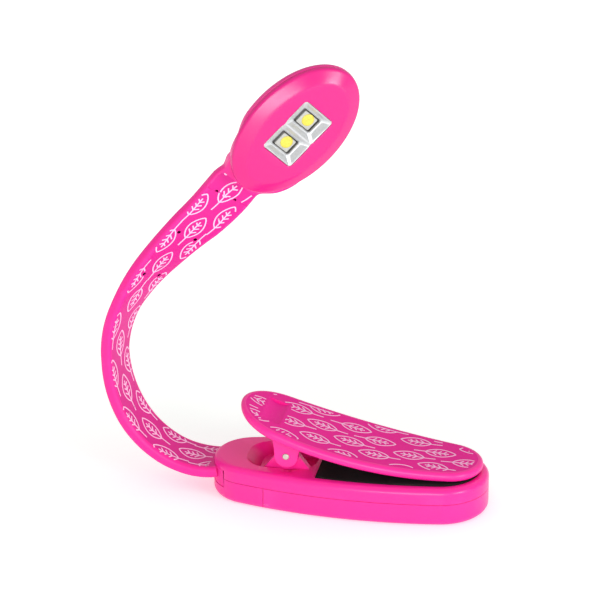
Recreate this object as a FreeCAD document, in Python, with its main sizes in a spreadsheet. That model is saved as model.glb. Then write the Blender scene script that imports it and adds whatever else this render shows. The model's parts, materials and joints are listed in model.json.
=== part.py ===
"""Clip-on reading lamp: a flat base with a sprung clip, a flat bendable neck and an oval LED head.

The origin is the middle of the base's underside, +Z is up and +X runs from the neck to the
clip's tip.  Sizes are millimetres and angles are degrees.
"""
import math
import os

import FreeCAD
import Part
import Sketcher

Vector = FreeCAD.Vector
Placement = FreeCAD.Placement
Rotation = FreeCAD.Rotation

# ---------------------------------------------------------------- driving dimensions

SIZES = {
    # base outline: two end arcs joined by two long side arcs
    "base_length": 62.5,
    "base_height": 9.0,
    "heel_radius": 9.2,
    "toe_radius": 11.2,
    "side_radius": 112.6,
    "base_half_width": 12.5,
    "parting_height": 5.4,
    "parting_gap": 0.12,
    "tray_start": -18.0,
    "wall": 1.5,
    "top_round": 1.5,
    "bottom_round": 1.6,
    # neck slot in the heel of the base
    "slot_end": -27.6,
    "slot_low": 3.2,
    "slot_high": 7.4,
    "block_fit": 0.04,
    "lead_passage_end": -24.0,
    "lead_passage_half_width": 4.0,
    "lead_passage_depth": 1.9,
    # two screws that close the heel
    "screw_x": -22.2,
    "screw_y": 6.2,
    "screw_radius": 0.75,
    "screw_length": 5.0,
    "screw_head_radius": 1.5,
    "screw_head_height": 0.9,
    "screw_head_low": 0.55,
    "screw_cross_length": 1.8,
    "screw_cross_width": 0.35,
    "screw_cross_depth": 0.35,
    "screw_seat_depth": 1.5,
    "boss_radius": 2.0,
    # spring well and hinge
    "well_floor": 6.3,
    "well_start": -23.5,
    "well_end": -7.2,
    "well_half_width": 6.8,
    "well_slope": 3.0,
    "well_corner": 5.5,
    "pin_x": -13.3,
    "pin_height": 12.6,
    "pin_radius": 0.75,
    "pin_length": 16.4,
    "pin_end_round": 0.2,
    "running_fit": 0.05,
    "ear_inner": 4.5,
    "ear_outer": 6.1,
    "ear_radius": 2.2,
    "ear_foot_low": -18.6,
    "ear_foot_high": -8.0,
    "lug_inner": 6.35,
    "lug_outer": 8.0,
    "lug_radius": 2.7,
    "lug_top_low": -16.7,
    "lug_top_high": -9.4,
    "lug_clearance": 3.9,
    "lug_side_clearance": 0.3,
    # rubber pad let into the top of the base
    "pad_start": -6.4,
    "pad_inset": 2.0,
    "pad_recess": 0.8,
    "pad_thickness": 1.12,
    "pad_fit": 0.06,
    "pad_edge_round": 0.3,
    # clip lever: a plate bent to a large arc that lies level at the tip
    "clip_tail": -24.9,
    "clip_tip": 29.9,
    "clip_tail_radius": 10.2,
    "clip_tip_radius": 8.2,
    "clip_side_radius": 136.7,
    "clip_half_width": 10.7,
    "clip_arch_radius": 140.2,
    "clip_thickness": 2.2,
    "clip_tip_middle": 10.47,
    "clip_edge_round": 0.85,
    "dish_x": -17.3,
    "dish_radius": 5.0,
    "dish_length": 10.6,
    "dish_depth": 0.55,
    # spring on the pin
    "spring_wire": 0.6,
    "spring_radius": 1.55,
    "spring_pitch": 0.66,
    "spring_turns": 9,
    # battery tray and its two coin cells
    "tray_wall": 1.3,
    "tray_floor": 1.2,
    "tray_lip_height": 4.2,
    "cell_radius": 10.0,
    "cell_thickness": 3.2,
    "cell_rim": 8.6,
    "cell_low_x": -7.0,
    "cell_high_x": 14.0,
    "cell_cap_height": 0.25,
    "strip_thickness": 0.2,
    "strip_width": 5.0,
    "contact_width": 4.0,
    "contact_space_height": 1.7,
    "contact_negative_x": -4.8,
    "contact_positive_x": 9.2,
    # neck strip
    "neck_width": 10.8,
    "neck_thickness": 2.67,
    "neck_round": 0.9,
    "neck_pitch": 13.3,
    "neck_start_x": -29.0,
    "neck_start_height": 6.0,
    "neck_gap": 1.0,
    "wire_radius": 0.55,
    "wire_offset": 2.5,
    "mould_hole_radius": 0.4,
    "anchor_thickness": 0.8,
    "anchor_width": 7.6,
    "anchor_height": 4.2,
    "anchor_low": 2.6,
    "lead_radius": 0.45,
    "lead_length": 5.6,
    "lead_height": 4.6,
    # head: an ellipse seen along its face normal
    "head_x": -12.8,
    "head_y": 0.1,
    "head_height": 87.5,
    "head_yaw": 20.0,
    "head_pitch": -45.7,
    "head_roll": 100.5,
    "head_half_length": 17.0,
    "head_half_width": 11.2,
    "cover_ridge_inset": 1.2,
    "cover_ridge_height": 2.1,
    "cover_face_inset": 4.4,
    "cover_height": 2.5,
    "cover_ridge_round": 1.1,
    "cover_wall": 1.2,
    "cup_depth": 6.2,
    "cup_wall": 1.3,
    "cup_clearance": 0.06,
    "window_length": 13.75,
    "window_width": 8.8,
    "reflector_fit": 0.1,
    "reflector_top": 2.35,
    "board_inset": 2.6,
    "board_thickness": 0.8,
    "board_front": -0.3,
    "led_spacing": 6.7,
    "led_well_length": 3.7,
    "led_well_width": 5.1,
    "led_length": 3.5,
    "led_width": 4.4,
    "led_height": 0.9,
    "phosphor_depth": 0.16,
    "phosphor_radius": 1.45,
    "resistor_x": 9.5,
    "switch_side": 4.4,
    "switch_height": 1.1,
    "plunger_radius": 0.9,
    "plunger_height": 0.4,
    "button_x": 3.0,
    "button_radius": 2.6,
    "button_fit": 0.15,
    "button_flange": 0.7,
    "button_flange_height": 0.5,
    "button_back": -6.9,
    "button_round": 0.5,
    "button_travel": 0.4,
}

# direction of the neck's centre line (0 is +X, 90 is up) and twist of the strip, at each pitch
NECK_DIRECTIONS = [192, 150, 117, 91, 63.5, 50, 46, 55]
NECK_TWISTS = [0, 6, 9, 10, 22, 41, 58, 64]

# places along the neck, in pitches: where it bends or twists (it twists at 4 and at 6), where
# the printed face has its pairs of mould holes, and where the wires start on the anchor plate
NECK_JOINTS = [0.5, 1.5, 2.5, 3.5, 4.0, 4.5, 5.5, 6.0, 6.5]
NECK_HOLES = {6: 4.76, 7: 5.75}
HEAD_HOLES = 6.75
WIRES_START = -0.12

# the flare behind the neck's last joint: place in head axes, width and thickness
FLARE = [
    ((-19.0, -1.2, -4.5), 11.4, 2.7),
    ((-15.5, -1.1, -3.9), 12.8, 3.0),
    ((-11.5, -0.6, -3.4), 14.8, 3.3),
    ((-7.5, -0.2, -3.0), 15.0, 2.6),
]

# turn from straight up at which each of the spring's end turns stops, and its leg's length
SPRING_LEGS = [(-30, 6.2), (8, 6.9)]

doc = FreeCAD.newDocument("reading_lamp")
dims = doc.addObject("Spreadsheet::Sheet", "dims")
for row, (alias, value) in enumerate(SIZES.items(), 1):
    dims.set(f"A{row}", alias)
    dims.set(f"B{row}", str(value))
    dims.setAlias(f"B{row}", alias)
doc.recompute()

nodes = []


def number(expression):
    """The value of an expression in the sheet's cells."""
    return float(dims.evalExpression(expression))


def bind(thing, **expressions):
    """Tie properties of an object to expressions in the sheet's cells."""
    for name, expression in expressions.items():
        thing.setExpression(name, expression)
    return thing


def add(kind, name, **expressions):
    return bind(doc.addObject(kind, name), **expressions)


def node(thing, label, placement=None):
    """Keep an object as one sub-part of the lamp, moved by a placement if one is given."""
    thing.Label = label
    if placement is not None:
        thing.Placement = placement.multiply(thing.Placement)
    nodes.append(thing)
    return thing


# ---------------------------------------------------------------- sketches


def new_body(name):
    return doc.addObject("PartDesign::Body", name)


def new_sketch(body, name, plane="XY_Plane", offset="0"):
    """A sketch on one of the body's own origin planes, moved along the plane's normal."""
    sketch = body.newObject("Sketcher::SketchObject", name)
    origin = next(item for item in body.Origin.OriginFeatures if item.Role == plane)
    sketch.AttachmentSupport = (origin, [""])
    sketch.MapMode = "FlatFace"
    sketch.setExpression(".AttachmentOffset.Base.z", offset)
    doc.recompute()
    return sketch


def measure(sketch, name, expression, kind, *where):
    """A named size of the sketch, tied to the sheet."""
    index = sketch.addConstraint(Sketcher.Constraint(kind, *where, number(expression)))
    sketch.renameConstraint(index, name)
    sketch.setExpression(f"Constraints.{name}", expression)


def arc(sketch, centre, radius, start, end):
    """An arc drawn anticlockwise from the start point's side to the end point's side."""
    first = math.atan2(start[1] - centre[1], start[0] - centre[0])
    last = math.atan2(end[1] - centre[1], end[0] - centre[0])
    circle = Part.Circle(Vector(*centre, 0), Vector(0, 0, 1), radius)
    return sketch.addGeometry(Part.ArcOfCircle(circle, first, last), False)


def line(sketch, start, end):
    return sketch.addGeometry(Part.LineSegment(Vector(*start, 0), Vector(*end, 0)), False)


def polygon(sketch, points):
    """Straight edges through points given as pairs of expressions, each point fixed."""
    places = [(number(across), number(up)) for across, up in points]
    edges = [line(sketch, places[i], places[(i + 1) % len(places)]) for i in range(len(places))]
    for i, edge in enumerate(edges):
        following = edges[(i + 1) % len(edges)]
        sketch.addConstraint(Sketcher.Constraint("Coincident", edge, 2, following, 1))
    for i, (across, up) in enumerate(points):
        measure(sketch, f"across_{i}", across, "DistanceX", -1, 1, edges[i], 1)
        measure(sketch, f"up_{i}", up, "DistanceY", -1, 1, edges[i], 1)
    return sketch


def circle(sketch, across, up, radius, name="hole"):
    place = Vector(number(across), number(up), 0)
    ring = sketch.addGeometry(Part.Circle(place, Vector(0, 0, 1), number(radius)), False)
    measure(sketch, f"{name}_radius", radius, "Radius", ring)
    measure(sketch, f"{name}_across", across, "DistanceX", -1, 1, ring, 3)
    measure(sketch, f"{name}_up", up, "DistanceY", -1, 1, ring, 3)
    return sketch


def rounded_rectangle(sketch, low_x, high_x, half_height, radius):
    """A rectangle with round corners that is even about the sketch's horizontal axis."""
    left, right = number(low_x), number(high_x)
    top, r = number(half_height), number(radius)
    top_edge = line(sketch, (right - r, top), (left + r, top))
    left_edge = line(sketch, (left, top - r), (left, r - top))
    bottom_edge = line(sketch, (left + r, -top), (right - r, -top))
    right_edge = line(sketch, (right, r - top), (right, top - r))
    corners = [
        (right_edge, (right - r, top - r), (right, top - r), (right - r, top), top_edge),
        (top_edge, (left + r, top - r), (left + r, top), (left, top - r), left_edge),
        (left_edge, (left + r, r - top), (left, r - top), (left + r, -top), bottom_edge),
        (bottom_edge, (right - r, r - top), (right - r, -top), (right, r - top), right_edge),
    ]
    arcs = []
    for before, centre, start, end, after in corners:
        bend = arc(sketch, centre, r, start, end)
        sketch.addConstraint(Sketcher.Constraint("Tangent", before, 2, bend, 1))
        sketch.addConstraint(Sketcher.Constraint("Tangent", bend, 2, after, 1))
        arcs.append(bend)
    sketch.addConstraint(Sketcher.Constraint("Horizontal", top_edge))
    sketch.addConstraint(Sketcher.Constraint("Horizontal", bottom_edge))
    sketch.addConstraint(Sketcher.Constraint("Vertical", left_edge))
    sketch.addConstraint(Sketcher.Constraint("Vertical", right_edge))
    for bend in arcs[1:]:
        sketch.addConstraint(Sketcher.Constraint("Equal", arcs[0], bend))
    measure(sketch, "corner", radius, "Radius", arcs[0])
    measure(sketch, "low_side", low_x, "DistanceX", -1, 1, left_edge, 1)
    measure(sketch, "high_side", high_x, "DistanceX", -1, 1, right_edge, 1)
    measure(sketch, "top_side", half_height, "DistanceY", -1, 1, top_edge, 1)
    measure(sketch, "bottom_side", f"-({half_height})", "DistanceY", -1, 1, bottom_edge, 1)
    return sketch


def mirrored(point):
    """The point on the other side of the sketch's horizontal axis."""
    return point[0], -point[1]


class Outline:
    """Two end arcs and two side arcs, all tangent: the plan of the base and of the clip."""

    def __init__(self, low, high, low_radius, high_radius, side_radius):
        self.low_x = f"({low} + {low_radius})"
        self.high_x = f"({high} - {high_radius})"
        self.low_radius, self.high_radius, self.side_radius = low_radius, high_radius, side_radius
        first, last = number(self.low_x), number(self.high_x)
        big = number(side_radius)
        to_low, to_high = big - number(low_radius), big - number(high_radius)
        span = last - first
        across = (to_low**2 - to_high**2 + span**2) / (2 * span)
        self.low, self.high = (first, 0), (last, 0)
        self.side_centre = (first + across, -math.sqrt(to_low**2 - across**2))

    def touch(self, end, radius, inset):
        """The point where the upper side arc meets an end arc."""
        dx, dy = end[0] - self.side_centre[0], end[1] - self.side_centre[1]
        length = math.hypot(dx, dy)
        reach = number(radius) - inset
        return end[0] + dx / length * reach, end[1] + dy / length * reach

    def side_at(self, x, inset=0):
        """Half width of the outline at a place on the side arcs."""
        reach = number(self.side_radius) - inset
        return self.side_centre[1] + math.sqrt(reach**2 - (x - self.side_centre[0]) ** 2)

    def draw(self, sketch, inset="0", cut_low=None, cut_high=None):
        """The outline, drawn in by an inset; one end may be cut off by a straight edge."""
        gap = number(inset)
        big = number(self.side_radius) - gap
        low_touch = self.touch(self.low, self.low_radius, gap)
        high_touch = self.touch(self.high, self.high_radius, gap)
        if cut_low:
            low_touch = (number(cut_low), self.side_at(number(cut_low), gap))
        if cut_high:
            high_touch = (number(cut_high), self.side_at(number(cut_high), gap))
        below = (self.side_centre[0], -self.side_centre[1])
        upper = arc(sketch, self.side_centre, big, high_touch, low_touch)
        lower = arc(sketch, below, big, mirrored(low_touch), mirrored(high_touch))
        measure(sketch, "side", f"{self.side_radius} - {inset}", "Radius", upper)
        sketch.addConstraint(Sketcher.Constraint("Equal", upper, lower))
        self.close(sketch, "low", inset, cut_low, upper, lower, low_touch, mirrored(low_touch))
        self.close(sketch, "high", inset, cut_high, lower, upper, mirrored(high_touch), high_touch)
        if cut_low or cut_high:
            self.fix_sides(sketch, upper, lower)
        return sketch

    def close(self, sketch, name, inset, cut, before, after, start, end):
        """Join the ends of the two side arcs by an end arc or by a straight edge."""
        if cut:
            edge = line(sketch, start, end)
            sketch.addConstraint(Sketcher.Constraint("Coincident", before, 2, edge, 1))
            sketch.addConstraint(Sketcher.Constraint("Coincident", edge, 2, after, 1))
            sketch.addConstraint(Sketcher.Constraint("Vertical", edge))
            measure(sketch, f"{name}_cut", cut, "DistanceX", -1, 1, edge, 1)
            return
        centre = self.low if name == "low" else self.high
        radius = self.low_radius if name == "low" else self.high_radius
        place = self.low_x if name == "low" else self.high_x
        bend = arc(sketch, centre, number(radius) - number(inset), start, end)
        sketch.addConstraint(Sketcher.Constraint("Tangent", before, 2, bend, 1))
        sketch.addConstraint(Sketcher.Constraint("Tangent", bend, 2, after, 1))
        sketch.addConstraint(Sketcher.Constraint("PointOnObject", bend, 3, -1))
        measure(sketch, f"{name}_radius", f"{radius} - {inset}", "Radius", bend)
        measure(sketch, f"{name}_centre", place, "DistanceX", -1, 1, bend, 3)

    def fix_sides(self, sketch, upper, lower):
        """With an end cut off, the side arcs keep the centres that they share with the whole."""
        for name, bend in (("upper_centre", upper), ("lower_centre", lower)):
            place = self.side_centre[0]
            index = sketch.addConstraint(Sketcher.Constraint("DistanceX", -1, 1, bend, 3, place))
            sketch.renameConstraint(index, name)


# ---------------------------------------------------------------- PartDesign features


def pad(body, sketch, length, both_ways=False):
    feature = body.newObject("PartDesign::Pad", f"{sketch.Name}_pad")
    feature.Profile = sketch
    bind(feature, Length=length)
    feature.Midplane = both_ways
    sketch.Visibility = False
    doc.recompute()
    return feature


def pocket(body, sketch, length, upwards=False, both_ways=False):
    """Cut a sketch's outline out of the body; the cut has to take something away."""
    before = body.Tip.Shape.Volume
    feature = body.newObject("PartDesign::Pocket", f"{sketch.Name}_pocket")
    feature.Profile = sketch
    bind(feature, Length=length)
    feature.Reversed = upwards
    feature.Midplane = both_ways
    doc.recompute()
    if not feature.Shape.Volume < before - 1e-3:
        raise RuntimeError(f"{feature.Name} cuts nothing")
    return feature


def edges_where(shape, test):
    """Names of the edges all of whose sample points pass a test."""
    names = []
    for index, edge in enumerate(shape.Edges, 1):
        if edge.Length > 0.05 and all(test(point) for point in edge.discretize(5)):
            names.append(f"Edge{index}")
    return names


def fillet(body, radius, test):
    base = body.Tip
    names = edges_where(base.Shape, test)
    if not names:
        raise RuntimeError(f"{body.Name}: no edge to round")
    feature = body.newObject("PartDesign::Fillet", f"{base.Name}_round")
    feature.Base = (base, names)
    bind(feature, Radius=radius)
    doc.recompute()
    return feature


def level(height):
    """A test for points at one height, given as an expression."""
    value = number(height)
    return lambda point: abs(point.z - value) < 1e-3


# ---------------------------------------------------------------- base

BASE = Outline("-dims.base_length / 2", "dims.base_length / 2", "dims.heel_radius",
               "dims.toe_radius", "dims.side_radius")


def cut_lug_troughs(body):
    """Shallow round hollows in the base's top, under the clip's two lugs."""
    for side in (-1, 1):
        sketch = new_sketch(body, f"trough_{side + 2}", "XZ_Plane",
                            f"{-side} * (dims.lug_inner + dims.lug_outer) / 2")
        circle(sketch, "dims.pin_x", "dims.pin_height", "dims.lug_clearance")
        pocket(body, sketch, "dims.lug_outer - dims.lug_inner + 2 * dims.lug_side_clearance",
               both_ways=True)


def add_hinge_ears(body):
    """Two ears with sloping sides and round tops, which carry the pin."""
    for side in (-1, 1):
        sketch = new_sketch(body, f"ear_{side + 2}", "XZ_Plane",
                            f"{-side} * (dims.ear_inner + dims.ear_outer) / 2")
        polygon(sketch, [
            ("dims.ear_foot_low", "dims.well_floor - 0.3"),
            ("dims.ear_foot_high", "dims.well_floor - 0.3"),
            ("dims.ear_foot_high", "dims.base_height - 0.4"),
            ("dims.pin_x + dims.ear_radius", "dims.pin_height"),
            ("dims.pin_x - dims.ear_radius", "dims.pin_height"),
            ("dims.ear_foot_low", "dims.base_height - 0.4"),
        ])
        pad(body, sketch, "dims.ear_outer - dims.ear_inner", both_ways=True)
        knob = new_sketch(body, f"ear_top_{side + 2}", "XZ_Plane",
                          f"{-side} * (dims.ear_inner + dims.ear_outer) / 2")
        circle(knob, "dims.pin_x", "dims.pin_height", "dims.ear_radius")
        pad(body, knob, "dims.ear_outer - dims.ear_inner", both_ways=True)
    bore = new_sketch(body, "pin_bore", "XZ_Plane")
    circle(bore, "dims.pin_x", "dims.pin_height", "dims.pin_radius")
    pocket(body, bore, "dims.pin_length", both_ways=True)


def upper_shell():
    body = new_body("upper_shell")
    pad(body, BASE.draw(new_sketch(body, "plan", offset="dims.parting_height")),
        "dims.base_height - dims.parting_height")
    fillet(body, "dims.top_round", level("dims.base_height"))
    rim = new_sketch(body, "well_rim", offset="dims.base_height")
    rounded_rectangle(rim, "dims.well_start", "dims.well_end", "dims.well_half_width",
                      "dims.well_corner")
    floor = new_sketch(body, "well_bottom", offset="dims.well_floor")
    rounded_rectangle(floor, "dims.well_start + dims.well_slope", "dims.well_end - 0.4",
                      "dims.well_half_width - 0.4", "dims.well_corner - 1.5")
    well = body.newObject("PartDesign::SubtractiveLoft", "well")
    well.Profile = rim
    well.Sections = [floor]
    well.Ruled = True
    recess = new_sketch(body, "pad_recess", offset="dims.base_height")
    pocket(body, BASE.draw(recess, "dims.pad_inset", cut_low="dims.pad_start"), "dims.pad_recess")
    hollow = new_sketch(body, "contact_space", offset="dims.parting_height")
    rounded_rectangle(hollow, "-5", "25", "8.5", "2")
    pocket(body, hollow, "dims.contact_space_height", upwards=True)
    slot = new_sketch(body, "neck_slot", offset="dims.parting_height")
    rounded_rectangle(slot, "-dims.base_length", "dims.slot_end", "dims.base_half_width", "0.5")
    pocket(body, slot, "dims.slot_high - dims.parting_height", upwards=True)
    passage = new_sketch(body, "lead_passage", offset="dims.parting_height")
    rounded_rectangle(passage, "dims.slot_end - 1", "dims.lead_passage_end",
                      "dims.lead_passage_half_width", "0.4")
    pocket(body, passage, "dims.lead_passage_depth", upwards=True)
    for side in (-1, 1):
        hole = new_sketch(body, f"screw_hole_{side + 2}", offset="dims.parting_height")
        circle(hole, "dims.screw_x", f"{side} * dims.screw_y",
               "dims.screw_radius + dims.running_fit")
        pocket(body, hole, "1.6", upwards=True)
    cut_lug_troughs(body)
    add_hinge_ears(body)
    return node(body, "base_upper_shell")


def lower_shell():
    """The fixed heel of the base's underside, behind the battery tray."""
    body = new_body("lower_shell")
    seam = "dims.tray_start - dims.parting_gap"
    pad(body, BASE.draw(new_sketch(body, "heel_plan"), cut_high=seam),
        "dims.parting_height - dims.parting_gap")
    edge = number(seam) - 0.01
    fillet(body, "dims.bottom_round", lambda p: abs(p.z) < 1e-3 and not p.x > edge)
    inside = new_sketch(body, "heel_inside", offset="dims.parting_height - dims.parting_gap")
    pocket(body, BASE.draw(inside, "dims.wall", cut_high=f"{seam} - 1.2"), "3.6")
    slot = new_sketch(body, "heel_slot", offset="dims.parting_height")
    rounded_rectangle(slot, "-dims.base_length", "dims.slot_end", "dims.base_half_width", "0.5")
    pocket(body, slot, "dims.parting_height - dims.slot_low")
    for side in (-1, 1):
        boss = new_sketch(body, f"boss_{side + 2}", offset="1")
        circle(boss, "dims.screw_x", f"{side} * dims.screw_y", "dims.boss_radius")
        pad(body, boss, "dims.parting_height - dims.parting_gap - 1")
    for side in (-1, 1):
        head = new_sketch(body, f"head_seat_{side + 2}")
        circle(head, "dims.screw_x", f"{side} * dims.screw_y",
               "dims.screw_head_radius + 2 * dims.running_fit")
        pocket(body, head, "dims.screw_seat_depth", upwards=True)
        shank = new_sketch(body, f"shank_hole_{side + 2}")
        circle(shank, "dims.screw_x", f"{side} * dims.screw_y",
               "dims.screw_radius + 3 * dims.running_fit")
        pocket(body, shank, "dims.parting_height", upwards=True)
    return node(body, "base_lower_shell")


def cylinder(name, radius, height, place, direction=(0, 0, 1)):
    """A plain cylinder; its radius and height are expressions and its foot is a point."""
    solid = add("Part::Cylinder", name, Radius=radius, Height=height)
    turn = Rotation(Vector(0, 0, 1), Vector(*direction))
    solid.Placement = Placement(Vector(*place), turn)
    return solid


def box(name, length, width, height, place, turn=Rotation()):
    """A box whose sides are expressions, centred on a point across and standing on it."""
    solid = add("Part::Box", name, Length=length, Width=width, Height=height)
    corner = Vector(-number(length) / 2, -number(width) / 2, 0)
    solid.Placement = Placement(Vector(*place) + turn.multVec(corner), turn)
    return solid


def fuse(name, *shapes):
    thing = doc.addObject("Part::MultiFuse", name)
    thing.Shapes = list(shapes)
    return thing


def cut(name, base, tool):
    thing = doc.addObject("Part::Cut", name)
    thing.Base = base
    thing.Tool = tool
    return thing


def group(name, *shapes):
    thing = doc.addObject("Part::Compound", name)
    thing.Links = list(shapes)
    return thing


def screws():
    """Two small cross-head screws that close the heel from below."""
    made = []
    x, low = number("dims.screw_x"), number("dims.screw_head_low")
    neck_low = low + number("dims.screw_head_height") - 0.05
    length, width = "dims.screw_cross_length", "dims.screw_cross_width"
    depth = "dims.screw_cross_depth + 0.15"
    for side in (-1, 1):
        y = side * number("dims.screw_y")
        tag = side + 2
        head = cylinder(f"screw_head_{tag}", "dims.screw_head_radius", "dims.screw_head_height",
                        (x, y, low))
        shank = cylinder(f"screw_shank_{tag}", "dims.screw_radius", "dims.screw_length",
                         (x, y, neck_low))
        solid = fuse(f"screw_{tag}", head, shank)
        cross = fuse(f"screw_cross_{tag}",
                     box(f"cross_a_{tag}", length, width, depth, (x, y, low - 0.15)),
                     box(f"cross_b_{tag}", width, length, depth, (x, y, low - 0.15)))
        made.append(cut(f"screw_cut_{tag}", solid, cross))
    return node(group("screws", *made), "base_screws")


def grip_pad():
    body = new_body("pad")
    bottom = "dims.base_height - dims.pad_recess"
    inset = "(dims.pad_inset + dims.pad_fit)"
    plan = new_sketch(body, "pad_plan", offset=bottom)
    pad(body, BASE.draw(plan, inset, cut_low="dims.pad_start + dims.pad_fit"), "dims.pad_thickness")
    fillet(body, "dims.pad_edge_round", level(f"{bottom} + dims.pad_thickness"))
    return node(body, "grip_pad")


def hinge_pin():
    rod = cylinder("pin_rod", "dims.pin_radius", "dims.pin_length",
                   (number("dims.pin_x"), -number("dims.pin_length") / 2, number("dims.pin_height")),
                   (0, 1, 0))
    doc.recompute()
    pin = doc.addObject("Part::Fillet", "pin_rounded")
    pin.Base = rod
    rings = [i for i, edge in enumerate(rod.Shape.Edges, 1) if len(edge.Vertexes) == 1]
    rounding = number("dims.pin_end_round")
    pin.Edges = [(i, rounding, rounding) for i in rings]
    return node(pin, "hinge_pin")


def clip_spring():
    """Close turns on the pin, and a leg at each end that runs under the clip's tail."""
    turns = int(number("dims.spring_turns"))
    pitch, radius = number("dims.spring_pitch"), number("dims.spring_radius")
    centre = Vector(number("dims.pin_x"), 0, number("dims.pin_height"))
    first_y = -pitch * (turns - 1) / 2
    made = []
    for turn in range(turns):
        ring = add("Part::Torus", f"spring_turn_{turn}", Radius1="dims.spring_radius",
                   Radius2="dims.spring_wire / 2")
        ring.Placement = Placement(centre + Vector(0, first_y + pitch * turn, 0),
                                   Rotation(Vector(1, 0, 0), 90))
        made.append(ring)
    for turn, (angle, length) in zip((0, turns - 1), SPRING_LEGS):
        lean = math.radians(angle)
        sign = 1 if turn else -1
        out = Vector(-math.sin(lean), 0, sign * math.cos(lean))
        along = Vector(-math.cos(lean), 0, -sign * math.sin(lean))
        start = centre + Vector(0, first_y + pitch * turn, 0) + out * radius
        leg = cylinder(f"spring_leg_{turn}", "dims.spring_wire / 2", str(length), start, along)
        made[turn] = fuse(f"spring_end_{turn}", made[turn], leg)
    return node(group("spring", *made), "clip_spring")


# ---------------------------------------------------------------- clip lever

CLIP = Outline("dims.clip_tail", "dims.clip_tip", "dims.clip_tail_radius",
               "dims.clip_tip_radius", "dims.clip_side_radius")


def arch_height(x, offset=0.0):
    """Height of the clip's bent middle surface, or of one parallel to it, at a place."""
    radius = number("dims.clip_arch_radius")
    middle = number("dims.clip_tip_middle") + radius
    return middle - math.sqrt((radius - offset) ** 2 - (x - number("dims.clip_tip")) ** 2)


def arch_cutter(body, name, offset, upwards):
    """Remove all that lies beyond one face of the bent plate."""
    sketch = new_sketch(body, name, "XZ_Plane")
    far = 40.0 if upwards else -10.0
    ends = (number("dims.clip_tail") - 3, number("dims.clip_tip") + 3)
    radius = number("dims.clip_arch_radius") - offset
    centre = (number("dims.clip_tip"), number("dims.clip_tip_middle + dims.clip_arch_radius"))
    start = (ends[0], arch_height(ends[0], offset))
    end = (ends[1], arch_height(ends[1], offset))
    bend = arc(sketch, centre, radius, start, end)
    down = line(sketch, end, (ends[1], far))
    back = line(sketch, (ends[1], far), (ends[0], far))
    rise = line(sketch, (ends[0], far), start)
    for first, second in ((bend, down), (down, back), (back, rise), (rise, bend)):
        sketch.addConstraint(Sketcher.Constraint("Coincident", first, 2, second, 1))
    sketch.addConstraint(Sketcher.Constraint("Vertical", down))
    sketch.addConstraint(Sketcher.Constraint("Vertical", rise))
    sketch.addConstraint(Sketcher.Constraint("Horizontal", back))
    side = "-" if upwards else "+"
    measure(sketch, "arch", f"dims.clip_arch_radius {side} dims.clip_thickness / 2", "Radius", bend)
    measure(sketch, "arch_x", "dims.clip_tip", "DistanceX", -1, 1, bend, 3)
    measure(sketch, "arch_z", "dims.clip_tip_middle + dims.clip_arch_radius",
            "DistanceY", -1, 1, bend, 3)
    pocket(body, sketch, "4 * dims.clip_half_width", both_ways=True)


def add_lugs(body):
    """Two lugs that hang from the plate and turn on the pin."""
    low, high = number("dims.lug_top_low"), number("dims.lug_top_high")
    inside = -number("dims.clip_thickness") / 4
    for side in (-1, 1):
        middle = f"{-side} * (dims.lug_inner + dims.lug_outer) / 2"
        web = new_sketch(body, f"lug_{side + 2}", "XZ_Plane", middle)
        polygon(web, [
            ("dims.lug_top_low", str(arch_height(low, inside))),
            ("dims.pin_x - dims.lug_radius", "dims.pin_height"),
            ("dims.pin_x + dims.lug_radius", "dims.pin_height"),
            ("dims.lug_top_high", str(arch_height(high, inside))),
        ])
        pad(body, web, "dims.lug_outer - dims.lug_inner", both_ways=True)
        end = new_sketch(body, f"lug_end_{side + 2}", "XZ_Plane", middle)
        circle(end, "dims.pin_x", "dims.pin_height", "dims.lug_radius")
        pad(body, end, "dims.lug_outer - dims.lug_inner", both_ways=True)
    bore = new_sketch(body, "lug_bore", "XZ_Plane")
    circle(bore, "dims.pin_x", "dims.pin_height", "dims.pin_radius + dims.running_fit")
    pocket(body, bore, "dims.pin_length + 2", both_ways=True)


def clip_lever():
    body = new_body("clip")
    pad(body, CLIP.draw(new_sketch(body, "clip_plan")), "30")
    half = number("dims.clip_thickness") / 2
    arch_cutter(body, "above_plate", half, True)
    arch_cutter(body, "below_plate", -half, False)

    def on_a_face(point):
        height = arch_height(point.x)
        return abs(abs(point.z - height) - half) < 0.25

    fillet(body, "dims.clip_edge_round", on_a_face)
    dish = body.newObject("PartDesign::SubtractiveCylinder", "thumb_dish")
    bind(dish, Radius="dims.dish_radius", Height="dims.dish_length")
    x = number("dims.dish_x")
    slope = math.asin((number("dims.clip_tip") - x) / number("dims.clip_arch_radius"))
    rise = half + number("dims.dish_radius - dims.dish_depth")
    place = Vector(x + rise * math.sin(slope), number("dims.dish_length") / 2,
                   arch_height(x) + rise * math.cos(slope))
    dish.Placement = Placement(place, Rotation(Vector(1, 0, 0), 90))
    doc.recompute()
    add_lugs(body)
    return node(body, "clip_lever")


# ---------------------------------------------------------------- battery tray


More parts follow.
